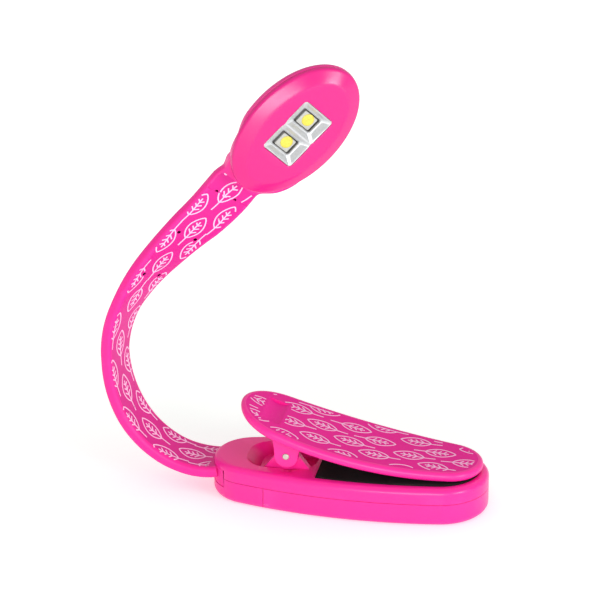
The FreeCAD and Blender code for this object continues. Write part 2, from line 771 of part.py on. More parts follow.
def battery_tray():
    """The drawer that forms the underside from the heel seam round the toe."""
    body = new_body("tray")
    top = "dims.parting_height - dims.parting_gap"
    pad(body, BASE.draw(new_sketch(body, "tray_plan"), cut_low="dims.tray_start"), top)
    start = number("dims.tray_start") + 0.01
    fillet(body, "dims.bottom_round", lambda p: abs(p.z) < 1e-3 and not p.x < start)
    inside = new_sketch(body, "tray_inside", offset=top)
    pocket(body, BASE.draw(inside, "dims.tray_wall", cut_low="dims.tray_start + 0.8"),
           f"{top} - dims.tray_floor")
    lip = new_sketch(body, "tray_lip", offset=top)
    rounded_rectangle(lip, "dims.tray_start - 5", "dims.tray_start + 1.5", "8.7", "0.5")
    pocket(body, lip, f"{top} - dims.tray_lip_height")
    ribs = new_sketch(body, "cell_stop", offset="dims.tray_floor")
    rounded_rectangle(ribs, "24.4", "25.6", "3", "0.3")
    pad(body, ribs, "dims.cell_thickness")
    return node(body, "battery_tray")


def coin_cell(index, place_x, flipped):
    """A coin cell: a wide can, and the smaller cap on its negative side."""
    low = number("dims.tray_floor + dims.strip_thickness")
    thickness = number("dims.cell_thickness")
    x = number(place_x)
    cap_height = number("dims.cell_cap_height")
    can_low = low + cap_height if flipped else low
    cap_low = low if flipped else low + thickness - cap_height
    can = cylinder(f"can_{index}", "dims.cell_radius", "dims.cell_thickness - dims.cell_cap_height",
                   (x, 0, can_low))
    cap = cylinder(f"cap_{index}", "dims.cell_rim", "dims.cell_cap_height", (x, 0, cap_low))
    return node(fuse(f"cell_{index}", can, cap), f"coin_cell_{index}")


def bridge():
    """The strip in the tray's floor that joins the two cells."""
    middle = number("(dims.cell_low_x + dims.cell_high_x) / 2")
    strip = box("bridge_strip", "dims.cell_high_x - dims.cell_low_x", "dims.strip_width",
                "dims.strip_thickness", (middle, 0, number("dims.tray_floor")))
    return node(strip, "contact_bridge")


def contact(label, x):
    """A leaf spring under the top of the base, bowed down onto a cell."""
    body = new_body(label)
    sketch = new_sketch(body, f"{label}_side", "XZ_Plane")
    roof = "dims.parting_height + dims.contact_space_height"
    touch = "dims.tray_floor + dims.strip_thickness + dims.cell_thickness + 0.05"
    leaf = "dims.strip_thickness"
    polygon(sketch, [
        (x, roof), (x, f"{roof} - {leaf}"), (f"{x} + 2", f"{roof} - {leaf}"),
        (f"{x} + 5.4", touch), (f"{x} + 6.8", touch), (f"{x} + 7.8", f"{touch} + 0.7"),
        (f"{x} + 7.6", f"{touch} + 0.85"), (f"{x} + 6.7", f"{touch} + {leaf}"),
        (f"{x} + 5.5", f"{touch} + {leaf}"), (f"{x} + 2.1", roof),
    ])
    pad(body, sketch, "dims.contact_width", both_ways=True)
    return node(body, label)


# ---------------------------------------------------------------- neck


def neck_state(distance):
    """Centre, direction and twist of the neck at a distance along it, in millimetres."""
    pitch = number("dims.neck_pitch")
    x, z = number("dims.neck_start_x"), number("dims.neck_start_height")
    last = len(NECK_DIRECTIONS) - 2
    for index in range(last + 1):
        start = math.radians(NECK_DIRECTIONS[index])
        bend = math.radians(NECK_DIRECTIONS[index + 1]) - start
        share = distance / pitch - index
        if share < 1 or index == last:
            break
        x += pitch / bend * (math.sin(start + bend) - math.sin(start))
        z -= pitch / bend * (math.cos(start + bend) - math.cos(start))
    way = start + bend * share
    x += pitch / bend * (math.sin(way) - math.sin(start))
    z -= pitch / bend * (math.cos(way) - math.cos(start))
    low, high = NECK_TWISTS[index], NECK_TWISTS[index + 1]
    return x, z, way, math.radians(low + (high - low) * share)


def neck_place(distance):
    """The strip's frame: local X through its thickness, Y across its width, Z along it."""
    x, z, way, twist = neck_state(distance)
    along = Vector(math.cos(way), 0, math.sin(way))
    across = Vector(0, 1, 0)
    through = across.cross(along)
    face = through * math.cos(twist) - across * math.sin(twist)
    side = across * math.cos(twist) + through * math.sin(twist)
    return Placement(Vector(x, 0, z), Rotation(face, side, along, "ZXY"))


def section(name, place, thickness, width, radius):
    """A doc-level sketch of the strip's rounded section."""
    sketch = doc.addObject("Sketcher::SketchObject", name)
    rounded_rectangle(sketch, f"-{thickness} / 2", f"{thickness} / 2", f"{width} / 2", radius)
    sketch.Placement = place
    return sketch


def loft(name, sections, ruled=False):
    thing = doc.addObject("Part::Loft", name)
    thing.Sections = sections
    thing.Solid = True
    thing.Ruled = ruled
    return thing


def neck_stations(start, end):
    """Evenly spaced places between two distances, about 3 mm apart."""
    steps = max(2, round((end - start) / 3))
    return [start + (end - start) * i / steps for i in range(steps + 1)]


def neck_wires(tag, start, end):
    """The two bendable wires in one stretch of the strip."""
    made = []
    for side in (-1, 1):
        rings = []
        for i, distance in enumerate(neck_stations(start, end)):
            ring = add("Part::Circle", f"wire_ring_{tag}_{side + 2}_{i}", Radius="dims.wire_radius")
            shift = Placement(Vector(0, side * number("dims.wire_offset"), 0), Rotation())
            ring.Placement = neck_place(distance).multiply(shift)
            rings.append(ring)
        made.append(loft(f"wire_{tag}_{side + 2}", rings))
    return made


def neck_strip(tag, start, end):
    """One stretch of the rubber strip, before its wires are cut out of it."""
    sections = [
        section(f"strip_{tag}_{i}", neck_place(distance), "dims.neck_thickness",
                "dims.neck_width", "dims.neck_round")
        for i, distance in enumerate(neck_stations(start, end))
    ]
    return loft(f"strip_{tag}", sections)


def mould_holes(tag, distance):
    """A pair of small blind holes in the printed face, over the wires."""
    made = []
    for side in (-1, 1):
        shift = Placement(Vector(number("dims.wire_radius"), side * number("dims.wire_offset"), 0),
                          Rotation(Vector(0, 1, 0), 90))
        hole = add("Part::Cylinder", f"mould_hole_{tag}_{side + 2}",
                   Radius="dims.mould_hole_radius", Height="dims.neck_thickness")
        hole.Placement = neck_place(distance).multiply(shift)
        made.append(hole)
    return made


def neck_segment(index, start, end, holes=()):
    """A stretch of neck between two joints: its sleeve and its pair of wires."""
    wires = neck_wires(index, start, end)
    tools = list(wires)
    for number_of_hole, distance in enumerate(holes):
        tools += mould_holes(f"{index}_{number_of_hole}", distance)
    sleeve = cut(f"sleeve_{index}", neck_strip(index, start, end), fuse(f"bores_{index}", *tools))
    node(sleeve, f"neck_sleeve_{index}")
    node(group(f"wires_{index}", *wires), f"neck_wires_{index}")


def neck_root():
    """The neck's fixed end: its strip, and the block that fills the slot in the base's heel."""
    pitch = number("dims.neck_pitch")
    end = pitch * NECK_JOINTS[0] - number("dims.neck_gap") / 2
    wires = neck_wires("root", pitch * WIRES_START, end)
    plan = doc.addObject("Sketcher::SketchObject", "block_plan")
    BASE.draw(plan, "dims.block_fit / 2", cut_high="dims.screw_x")
    plan.Placement = Placement(Vector(0, 0, number("dims.slot_low + dims.block_fit")), Rotation())
    rough = add("Part::Extrusion", "block_rough",
                LengthFwd="dims.slot_high - dims.slot_low - 2 * dims.block_fit")
    rough.Base = plan
    rough.DirMode = "Normal"
    rough.Solid = True
    length = number("dims.slot_end - 0.05 + dims.base_length")
    keep = box("block_keep", str(length), "30", "20",
               (number("dims.slot_end") - 0.05 - length / 2, 0, 0))
    block = doc.addObject("Part::Common", "block")
    block.Base = rough
    block.Tool = keep
    whole = fuse("root_whole", neck_strip("root", 0, end), block)
    sleeve = cut("sleeve_root", whole, fuse("bores_root", *wires))
    node(sleeve, "neck_root_sleeve")
    node(group("wires_root", *wires), "neck_root_wires")


def anchor_plate():
    """The plate in the heel that the neck's wires end on, with a slot for each."""
    x = number("dims.neck_start_x") + 2.05
    plate = box("anchor_rough", "dims.anchor_thickness", "dims.anchor_width",
                "dims.anchor_height", (x, 0, number("dims.anchor_low")))
    return node(plate, "neck_anchor_plate")


def base_leads():
    """Two insulated leads from the neck's wires towards the contacts."""
    made = []
    for side in (-1, 1):
        start = (number("dims.neck_start_x") + 2.5, side * number("dims.wire_offset"),
                 number("dims.lead_height"))
        made.append(cylinder(f"lead_{side + 2}", "dims.lead_radius", "dims.lead_length", start,
                             (1, 0, 0)))
    return node(group("leads", *made), "base_leads")


def neck():
    pitch, gap = number("dims.neck_pitch"), number("dims.neck_gap")
    for index in range(1, len(NECK_JOINTS)):
        start = NECK_JOINTS[index - 1] * pitch + gap / 2
        end = NECK_JOINTS[index] * pitch - gap / 2
        holes = [NECK_HOLES[index] * pitch] if index in NECK_HOLES else []
        neck_segment(index, start, end, holes)


# ---------------------------------------------------------------- head

HEAD = Placement(
    Vector(number("dims.head_x"), number("dims.head_y"), number("dims.head_height")),
    Rotation(number("dims.head_yaw"), number("dims.head_pitch"), number("dims.head_roll")),
)


def ellipse(name, inset, height):
    """An ellipse parallel to the head's rim; its inset and height are expressions."""
    ring = add("Part::Ellipse", name, MajorRadius=f"dims.head_half_length - ({inset})",
               MinorRadius=f"dims.head_half_width - ({inset})")
    ring.Placement = Placement(Vector(0, 0, number(height)), Rotation())
    return ring


def ellipse_loft(name, levels, ruled=True):
    """A solid through ellipses given as pairs of inset and height."""
    rings = [ellipse(f"{name}_{i}", inset, height) for i, (inset, height) in enumerate(levels)]
    return loft(name, rings, ruled)


def round_edges(name, base, radius, test):
    doc.recompute()
    thing = doc.addObject("Part::Fillet", name)
    thing.Base = base
    found = edges_where(base.Shape, test)
    thing.Edges = [(int(edge[4:]), radius, radius) for edge in found]
    return thing


def window_block(name, length, width, low, height):
    """A rounded block that fills the head's window, in head axes."""
    sketch = doc.addObject("Sketcher::SketchObject", f"{name}_plan")
    rounded_rectangle(sketch, f"-({length}) / 2", f"({length}) / 2", f"({width}) / 2", "0.5")
    sketch.Placement = Placement(Vector(0, 0, low), Rotation())
    block = add("Part::Extrusion", name, LengthFwd=str(height))
    block.Base = sketch
    block.DirMode = "Normal"
    block.Solid = True
    return block


def front_cover():
    ridge = ("dims.cover_ridge_inset", "dims.cover_ridge_height")
    side = ellipse_loft("cover_side", [("0", "0"), ridge])
    crown = ellipse_loft("cover_crown", [ridge, ("dims.cover_face_inset", "dims.cover_height")])
    solid = fuse("cover_solid", side, crown)
    softened = round_edges("cover_softened", solid, number("dims.cover_ridge_round"),
                           level(ridge[1]))
    inside = ellipse_loft("cover_inside", [("dims.cover_wall", "-0.01"), ("3", "1.1")])
    window = window_block("cover_window", "dims.window_length", "dims.window_width", 0, 4)
    shell = cut("cover_shell", softened, fuse("cover_hollow", inside, window))
    return node(shell, "head_front_cover", HEAD)


def head_frame(along, across, depth):
    """A frame in head axes that looks along the head, set like the neck's own frames."""
    axes = Rotation(Vector(0, 0, 1), Vector(0, -1, 0), Vector(1, 0, 0), "ZXY")
    return Placement(Vector(along, across, depth), axes)


def neck_end():
    """The frame, in head axes, at which the head takes over from the neck's last joint."""
    start = NECK_JOINTS[-1] * number("dims.neck_pitch") + number("dims.neck_gap") / 2
    return HEAD.inverse().multiply(neck_place(start))


def flare():
    """A solid from the neck's section, widening into the back of the head."""
    sections = [section("flare_start", neck_end(), "dims.neck_thickness", "dims.neck_width",
                        "dims.neck_round")]
    for i, (place, width, depth) in enumerate(FLARE):
        sections.append(section(f"flare_{i}", head_frame(*place), str(depth), str(width),
                                "dims.neck_round + 0.3"))
    return loft("flare", sections)


def head_wires():
    """The ends of the neck's wires, inside the flare."""
    frames = [neck_end()] + [head_frame(*place) for place, width, depth in FLARE[:3]]
    made = []
    for side in (-1, 1):
        rings = []
        for i, frame in enumerate(frames):
            ring = add("Part::Circle", f"head_ring_{side + 2}_{i}", Radius="dims.wire_radius")
            shift = Placement(Vector(0, side * number("dims.wire_offset"), 0), Rotation())
            ring.Placement = frame.multiply(shift)
            rings.append(ring)
        made.append(loft(f"head_wire_{side + 2}", rings))
    return made


def head_cup():
    """The head's back, one piece with the flare of the neck, with a bore for the button."""
    levels = [("0", "-dims.cup_clearance"), ("0.35", "-2.4"), ("1.6", "-4.4"),
              ("5.2", "-dims.cup_depth")]
    dome = ellipse_loft("cup_dome", levels, ruled=False)
    hollow_floor = "-dims.cup_depth + dims.cup_wall + 0.6"
    inside = ellipse_loft("cup_inside", [("dims.cup_wall", "0.2"), ("3.2", hollow_floor)])
    whole = fuse("cup_whole", dome, flare())
    bore = cylinder("button_bore", "dims.button_radius + dims.button_fit", "4",
                    (number("dims.button_x"), 0, -7.5))
    wires = head_wires()
    pins = []
    for hole in mould_holes("head", HEAD_HOLES * number("dims.neck_pitch")):
        hole.Placement = HEAD.inverse().multiply(hole.Placement)
        pins.append(hole)
    shell = cut("cup_shell", whole, fuse("cup_hollow", inside, bore, *wires, *pins))
    outside = cut("wires_outside_hollow", group("wires_head", *wires), inside)
    node(shell, "head_back_cup", HEAD)
    node(outside, "head_wires", HEAD)


def window_loft(name, place, low, high, rounding="0.5"):
    """A four-sided funnel in head axes; each end is (length, width, height)."""
    rings = []
    for i, (length, width, height) in enumerate((low, high)):
        sketch = doc.addObject("Sketcher::SketchObject", f"{name}_{i}")
        rounded_rectangle(sketch, f"-{length} / 2", f"{length} / 2", f"{width} / 2", rounding)
        sketch.Placement = Placement(Vector(place, 0, height), Rotation())
        rings.append(sketch)
    return loft(name, rings, ruled=True)


def reflector():
    """Two bright funnels side by side, each round a deep well for its diode."""
    low = number("dims.board_front") + 0.05
    body = window_block("reflector_block", "dims.window_length - dims.reflector_fit",
                        "dims.window_width - dims.reflector_fit",
                        low, number("dims.reflector_top") - low)
    well = number("dims.led_well_length"), number("dims.led_well_width")
    tools = []
    for side in (-1, 1):
        place = side * number("dims.led_spacing") / 2
        tools.append(window_loft(f"funnel_{side + 2}", place, (4.5, 5.9, 1.0), (6.5, 8.5, 2.45)))
        tools.append(window_loft(f"led_well_{side + 2}", place, (*well, -1), (*well, 1.1), "0.3"))
    return node(cut("reflector_shape", body, fuse("reflector_hollow", *tools)), "reflector", HEAD)


def diode(label, side):
    """A white package and its round yellow phosphor, which lies in a shallow cup."""
    place = side * number("dims.led_spacing") / 2
    package = box(f"package_{side + 2}", "dims.led_length", "dims.led_width", "dims.led_height",
                  (place, 0, number("dims.board_front")))
    low = number("dims.board_front + dims.led_height - dims.phosphor_depth")
    dot = cylinder(f"dot_{side + 2}", "dims.phosphor_radius", "dims.phosphor_depth", (place, 0, low))
    seat = cylinder(f"dot_seat_{side + 2}", "dims.phosphor_radius", "1", (place, 0, low))
    node(cut(f"package_cut_{side + 2}", package, seat), f"led_{label}", HEAD)
    node(dot, f"phosphor_{label}", HEAD)


def led_board():
    """An oval board behind the window, with two small resistors on its face."""
    plan = add("Part::Ellipse", "board_plan",
               MajorRadius="dims.head_half_length - dims.board_inset",
               MinorRadius="dims.head_half_width - dims.board_inset")
    board = add("Part::Extrusion", "board", LengthFwd="dims.board_thickness")
    board.Base = plan
    board.DirMode = "Custom"
    board.Dir = Vector(0, 0, 1)
    board.Solid = True
    back = Placement(Vector(0, 0, number("dims.board_front - dims.board_thickness")), Rotation())
    node(board, "led_board", HEAD.multiply(back))
    chips = [box(f"resistor_{side + 2}", "1", "2", "0.5",
                 (side * number("dims.resistor_x"), 0, number("dims.board_front")))
             for side in (-1, 1)]
    node(group("resistor_pair", *chips), "resistors", HEAD)


def tact_switch():
    """A small push switch on the back of the board, under the button."""
    x = number("dims.button_x")
    case_low = number("dims.board_front - dims.board_thickness - dims.switch_height")
    case = box("switch_case", "dims.switch_side", "dims.switch_side", "dims.switch_height",
               (x, 0, case_low))
    plunger = cylinder("switch_plunger", "dims.plunger_radius", "dims.plunger_height",
                       (x, 0, case_low - number("dims.plunger_height")))
    return node(fuse("switch_shape", case, plunger), "tact_switch", HEAD)


def power_button():
    """A round button in the head's back; its flange keeps it from falling out."""
    x, back = number("dims.button_x"), number("dims.button_back")
    plunger_end = number("dims.board_front - dims.board_thickness - dims.switch_height"
                         " - dims.plunger_height")
    top = plunger_end - number("dims.button_travel") - 0.05
    cap = cylinder("button_cap", "dims.button_radius", str(top - back), (x, 0, back))
    flange = cylinder("button_flange", "dims.button_radius + dims.button_flange",
                      "dims.button_flange_height",
                      (x, 0, top - number("dims.button_flange_height")))
    whole = fuse("button_whole", cap, flange)
    softened = round_edges("button_soft", whole, number("dims.button_round"),
                           level("dims.button_back"))
    return node(softened, "power_button", HEAD)


def head():
    front_cover()
    head_cup()
    led_board()
    reflector()
    diode("lower", -1)
    diode("upper", 1)
    tact_switch()
    power_button()


def build():
    upper_shell()
    lower_shell()
    screws()
    grip_pad()
    hinge_pin()
    clip_spring()
    clip_lever()
    battery_tray()
    coin_cell(1, "dims.cell_low_x", False)
    coin_cell(2, "dims.cell_high_x", True)
    bridge()
    contact("contact_negative", "dims.contact_negative_x")
    contact("contact_positive", "dims.contact_positive_x")
    neck_root()
    anchor_plate()
    base_leads()
    neck()
    head()


def write():
    """Check every object and every sub-part, then write one STEP file each."""
    doc.recompute()
    for thing in doc.Objects:
        if "Invalid" in thing.State or "Error" in thing.State:
            raise RuntimeError(f"{thing.Name} failed: {thing.State}")
    for thing in nodes:
        if thing.Shape.isNull() or not thing.Shape.isValid():
            raise RuntimeError(f"{thing.Label} has no valid shape")
    os.makedirs("parts", exist_ok=True)
    for thing in nodes:
        thing.Shape.exportStep(f"parts/{thing.Label}.step")
        print(thing.Label, len(thing.Shape.Solids), round(thing.Shape.Volume, 1))


build()
write()
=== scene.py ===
"""Looks of the clip-on reading lamp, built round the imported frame.

Shapes are worked out in millimetres and turned into metres when a mesh is made.  The head's
pieces are drawn in head axes: X along the oval, Y across it and Z out of its lit face.
"""
import json
import math
import random
import bmesh
import bpy
from mathutils import Matrix, Vector


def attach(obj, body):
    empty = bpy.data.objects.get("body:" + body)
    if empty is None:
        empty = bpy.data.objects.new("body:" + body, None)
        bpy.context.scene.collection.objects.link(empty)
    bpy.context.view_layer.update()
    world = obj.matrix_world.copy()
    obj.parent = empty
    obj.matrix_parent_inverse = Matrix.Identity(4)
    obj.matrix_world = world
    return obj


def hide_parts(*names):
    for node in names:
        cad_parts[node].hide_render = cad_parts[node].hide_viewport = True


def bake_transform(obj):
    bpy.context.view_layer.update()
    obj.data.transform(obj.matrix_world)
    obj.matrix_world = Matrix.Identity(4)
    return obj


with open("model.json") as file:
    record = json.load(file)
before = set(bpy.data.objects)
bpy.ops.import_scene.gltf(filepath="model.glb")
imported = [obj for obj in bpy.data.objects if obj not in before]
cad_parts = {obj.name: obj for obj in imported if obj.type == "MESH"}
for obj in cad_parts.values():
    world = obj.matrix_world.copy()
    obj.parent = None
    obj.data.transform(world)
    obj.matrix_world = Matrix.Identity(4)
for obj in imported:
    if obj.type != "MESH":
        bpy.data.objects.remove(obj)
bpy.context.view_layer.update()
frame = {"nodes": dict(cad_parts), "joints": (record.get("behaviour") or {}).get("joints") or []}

MM = 0.001
rng = random.Random(7)

# ---------------------------------------------------------------- driving sizes, as in the CAD

NECK_WIDTH, NECK_THICKNESS, NECK_ROUND = 10.8, 2.67, 0.95
NECK_PITCH = 13.3
NECK_START = (-29.0, 6.0)
NECK_DIRECTIONS = [192, 150, 117, 91, 63.5, 50, 46, 55]
NECK_TWISTS = [0, 6, 9, 10, 22, 41, 58, 64]
MOULD_HOLES = [63.3, 76.4]
HOLE_ACROSS, HOLE_RADIUS, HOLE_FLOOR, HOLE_TOP = 2.5, 0.42, 0.2, 2.5
CUP_JOIN, FLARE_PRINT, FLARE_HOLE = 89.0, 89.5, 89.8

HEAD_CENTRE = (-12.8, 0.1, 87.5)
HEAD_TURNS = (20.0, -45.7, 100.5)
HEAD_LENGTH, HEAD_WIDTH = 17.0, 11.2
COVER_HEIGHT, CUP_DEPTH = 2.5, 6.2
WINDOW_LENGTH, WINDOW_WIDTH = 13.75, 8.8

CLIP_TAIL, CLIP_TIP = -24.9, 29.9
CLIP_ARCH, CLIP_TIP_MIDDLE, CLIP_THICKNESS = 140.2, 10.47, 2.2
CLIP_RADII = (10.2, 8.2, 136.7)
PIN, PIN_BORE = (-13.3, 12.6), 0.8
DISH_X, DISH_RADIUS, DISH_DEPTH = -17.3, 5.0, 0.55
FILM_INSET = 1.15
WIRE_RADIUS = 0.3

BASE_END, BASE_RADII = 31.25, (9.2, 11.2, 112.6)
HEEL_CUT = -27.4

TURN = (Matrix.Rotation(math.radians(HEAD_TURNS[0]), 4, "Z")
        @ Matrix.Rotation(math.radians(HEAD_TURNS[1]), 4, "Y")
        @ Matrix.Rotation(math.radians(HEAD_TURNS[2]), 4, "X"))
HEAD = Matrix.Translation(Vector(HEAD_CENTRE)) @ TURN


# ---------------------------------------------------------------- mesh tools


def new_object(name, mesh):
    thing = bpy.data.objects.new(name, mesh)
    bpy.context.scene.collection.objects.link(thing)
    return thing


def piece(name, points, faces, material, sharp=40):
    """A mesh object from points in millimetres, smooth but for edges over an angle."""
    mesh = bpy.data.meshes.new(name)
    mesh.from_pydata([Vector(point) * MM for point in points], [], faces)
    mesh.validate()
    finish_mesh(mesh, sharp)
    if material:
        mesh.materials.append(material)
    return new_object(name, mesh)


def finish_mesh(mesh, sharp=40):
    """Merge doubled points, turn faces outwards and set which edges are sharp."""
    tidy = bmesh.new()
    tidy.from_mesh(mesh)
    bmesh.ops.remove_doubles(tidy, verts=tidy.verts, dist=1e-6)
    bmesh.ops.dissolve_degenerate(tidy, edges=tidy.edges, dist=1e-7)
    bmesh.ops.recalc_face_normals(tidy, faces=tidy.faces)
    for face in tidy.faces:
        face.smooth = True
    tidy.to_mesh(mesh)
    tidy.free()
    mesh.set_sharp_from_angle(angle=math.radians(sharp))


def loft(loops, caps=True, ring=False):
    """Points and faces through loops of equal length; a ring joins the last to the first."""
    count = len(loops[0])
    points = [point for loop in loops for point in loop]
    faces = []
    steps = len(loops) if ring else len(loops) - 1
    for i in range(steps):
        here, there = i * count, ((i + 1) % len(loops)) * count
        for j in range(count):
            k = (j + 1) % count
            faces.append((here + j, here + k, there + k, there + j))
    if caps and not ring:
        faces.append(tuple(range(count))[::-1])
        faces.append(tuple((len(loops) - 1) * count + j for j in range(count)))
    return points, faces


def combine(target, tool, operation):
    """Cut a mesh by another, or join them, and keep the result."""
    change = target.modifiers.new("shape", "BOOLEAN")
    change.operation = operation
    change.solver = "EXACT"
    change.object = tool
    bpy.context.view_layer.update()
    made = target.evaluated_get(bpy.context.evaluated_depsgraph_get())
    mesh = bpy.data.meshes.new_from_object(made)
    target.modifiers.clear()
    target.data = mesh
    bpy.data.objects.remove(tool)
    finish_mesh(mesh)
    return target


def rounded_rectangle(length, width, radius, corner_steps=6, side_steps=1):
    """Points round a rectangle with round corners, centred on the origin."""
    a, b = length / 2 - radius, width / 2 - radius
    points = []
    for index, (cx, cy) in enumerate(((a, b), (-a, b), (-a, -b), (a, -b))):
        for step in range(corner_steps + 1):
            angle = math.pi / 2 * (index + step / corner_steps)
            points.append((cx + radius * math.cos(angle), cy + radius * math.sin(angle)))
        nx, ny = ((-a, b), (-a, -b), (a, -b), (a, b))[index]
        start = points[-1]
        following = math.pi / 2 * (index + 1)
        end = (nx + radius * math.cos(following), ny + radius * math.sin(following))
        for step in range(1, side_steps):
            share = step / side_steps
            points.append((start[0] + (end[0] - start[0]) * share, start[1] + (end[1] - start[1]) * share))
    return points


def smooth_step(value, low, high):
    share = min(1.0, max(0.0, (value - low) / (high - low)))
    return share * share * (3 - 2 * share)


def mix(first, second, share):
    return first + (second - first) * share


# ---------------------------------------------------------------- materials


def new_material(name):
    material = bpy.data.materials.new(name)
    material.use_nodes = True
    nodes = material.node_tree.nodes
    shader = nodes["Principled BSDF"]
    return material, nodes, material.node_tree.links, shader


def noise(nodes, links, scale, detail=4.0, stretch=(1, 1, 1)):
    """A noise texture over the object's own metres, and its factor output."""
    place = nodes.new("ShaderNodeTexCoord")
    turn = nodes.new("ShaderNodeMapping")
    turn.inputs["Scale"].default_value = stretch
    texture = nodes.new("ShaderNodeTexNoise")
    texture.inputs["Scale"].default_value = scale
    texture.inputs["Detail"].default_value = detail
    links.new(place.outputs["Object"], turn.inputs["Vector"])
    links.new(turn.outputs["Vector"], texture.inputs["Vector"])
    return texture.outputs["Fac"]


def ramp(nodes, links, source, low, high, start=0.3, end=0.7):
    """Map a factor to a value between two greys or two colours."""
    blend = nodes.new("ShaderNodeValToRGB")
    blend.color_ramp.elements[0].position = start
    blend.color_ramp.elements[1].position = end
    blend.color_ramp.elements[0].color = low if len(low) == 4 else (*low, 1)
    blend.color_ramp.elements[1].color = high if len(high) == 4 else (*high, 1)
    links.new(source, blend.inputs["Fac"])
    return blend.outputs["Color"]


def grey(value):
    return (value, value, value, 1)


def bump(nodes, links, shader, source, distance, strength=0.5):
    lift = nodes.new("ShaderNodeBump")
    lift.inputs["Strength"].default_value = strength
    lift.inputs["Distance"].default_value = distance
    links.new(source, lift.inputs["Height"])
    links.new(lift.outputs["Normal"], shader.inputs["Normal"])


def worn_edges(nodes, links, body_colour, edge_colour):
    """Lighten convex edges a little, where moulded plastic is rubbed."""
    place = nodes.new("ShaderNodeNewGeometry")
    share = ramp(nodes, links, place.outputs["Pointiness"], grey(0), grey(0.35), 0.52, 0.62)
    blend = nodes.new("ShaderNodeMix")
    blend.data_type = "RGBA"
    links.new(share, blend.inputs["Factor"])
    links.new(body_colour, blend.inputs["A"])
    blend.inputs["B"].default_value = edge_colour
    return blend.outputs["Result"]


def plastic(name, colour, roughness, grain, grain_depth, scatter=0.0, tone=0.06, gloss=0.5):
    """Moulded plastic or rubber: faint cloudiness, fine grain and uneven polish."""
    material, nodes, links, shader = new_material(name)
    dark = tuple(channel * (1 - tone) for channel in colour)
    light = tuple(min(1, channel * (1 + tone)) for channel in colour)
    cloud = noise(nodes, links, 60, 2)
    body = ramp(nodes, links, cloud, dark, light)
    rubbed = tuple(min(1, channel * 1.15 + 0.02) for channel in colour)
    links.new(worn_edges(nodes, links, body, (*rubbed, 1)), shader.inputs["Base Color"])
    polish = noise(nodes, links, 140, 3)
    links.new(ramp(nodes, links, polish, grey(roughness - 0.02), grey(roughness + 0.03)),
              shader.inputs["Roughness"])
    bump(nodes, links, shader, noise(nodes, links, grain, 2), grain_depth)
    if scatter:
        shader.inputs["Subsurface Weight"].default_value = scatter
        shader.inputs["Subsurface Radius"].default_value = (1.0, 0.25, 0.5)
        shader.inputs["Subsurface Scale"].default_value = 0.0012
    shader.inputs["Specular IOR Level"].default_value = gloss
    return material


def metal(name, colour, roughness, stretch=(1, 1, 1), grain=900):
    material, nodes, links, shader = new_material(name)
    shader.inputs["Metallic"].default_value = 1.0
    scratches = noise(nodes, links, grain, 4, stretch)
    dark = tuple(channel * 0.86 for channel in colour)
    links.new(ramp(nodes, links, scratches, dark, colour), shader.inputs["Base Color"])
    links.new(ramp(nodes, links, scratches, grey(roughness - 0.05), grey(roughness + 0.12)),
              shader.inputs["Roughness"])
    bump(nodes, links, shader, scratches, 0.00002, 0.3)
    return material


def phosphor_material():
    """Yellow silicone over the diode, with fine specks."""
    material, nodes, links, shader = new_material("phosphor_yellow")
    specks = noise(nodes, links, 4000, 3)
    colour = ramp(nodes, links, specks, (0.66, 0.54, 0.05), (0.78, 0.69, 0.10))
    links.new(colour, shader.inputs["Base Color"])
    shader.inputs["Roughness"].default_value = 0.35
    bump(nodes, links, shader, specks, 0.00002)
    return material


def silver_with_painted_well_shade():
    """Bright moulded reflector, with painted shade: its colour turns dark grey down in its two wells."""
    material, nodes, links, shader = new_material("reflector_silver")
    normal = HEAD.to_3x3() @ Vector((0, 0, 1))
    place = nodes.new("ShaderNodeTexCoord")
    depth = nodes.new("ShaderNodeVectorMath")
    depth.operation = "DOT_PRODUCT"
    depth.inputs[1].default_value = normal
    links.new(place.outputs["Object"], depth.inputs[0])
    rim = Vector(HEAD_CENTRE).dot(normal) * MM
    well_shade_mask = nodes.new("ShaderNodeMapRange")
    well_shade_mask.inputs["From Min"].default_value = rim + 0.9 * MM
    well_shade_mask.inputs["From Max"].default_value = rim + 1.0 * MM
    links.new(depth.outputs["Value"], well_shade_mask.inputs["Value"])
    streaks = noise(nodes, links, 2600, 3)
    bright = ramp(nodes, links, streaks, (0.52, 0.53, 0.55), (0.62, 0.63, 0.64))
    blend = nodes.new("ShaderNodeMix")
    blend.data_type = "RGBA"
    links.new(well_shade_mask.outputs["Result"], blend.inputs["Factor"])
    # painted shade: dark grey below the wells' ledge stands in for the shade down in the wells
    blend.inputs["A"].default_value = (0.30, 0.29, 0.29, 1)
    links.new(bright, blend.inputs["B"])
    links.new(blend.outputs["Result"], shader.inputs["Base Color"])
    links.new(ramp(nodes, links, streaks, grey(0.30), grey(0.38)), shader.inputs["Roughness"])
    shader.inputs["Metallic"].default_value = 0.35
    bump(nodes, links, shader, streaks, 0.00001, 0.3)
    return material


SHELL = plastic("shell_pink", (0.90, 0.014, 0.30), 0.30, 2600, 0.000004, 0.10, 0.02)
# painted shade: the shells' pink made darker for the head, standing in for less light falling on it
HEAD_SHELL_SHADED = plastic("head_pink_painted_shade", (0.69, 0.007, 0.205), 0.24, 2600, 0.000004, 0.10, 0.02)
CUP = plastic("cup_pink", (0.86, 0.011, 0.275), 0.38, 2400, 0.000005, 0.1, 0.02)
CLIP = plastic("clip_pink", (0.90, 0.014, 0.30), 0.36, 2400, 0.000005, 0.1, 0.02)
NECK = plastic("neck_pink", (0.88, 0.011, 0.29), 0.46, 2200, 0.000008, 0.1, 0.03, 0.4)
FILM = plastic("print_ground", (0.83, 0.007, 0.285), 0.52, 2600, 0.000006, 0.06, 0.03, 0.2)
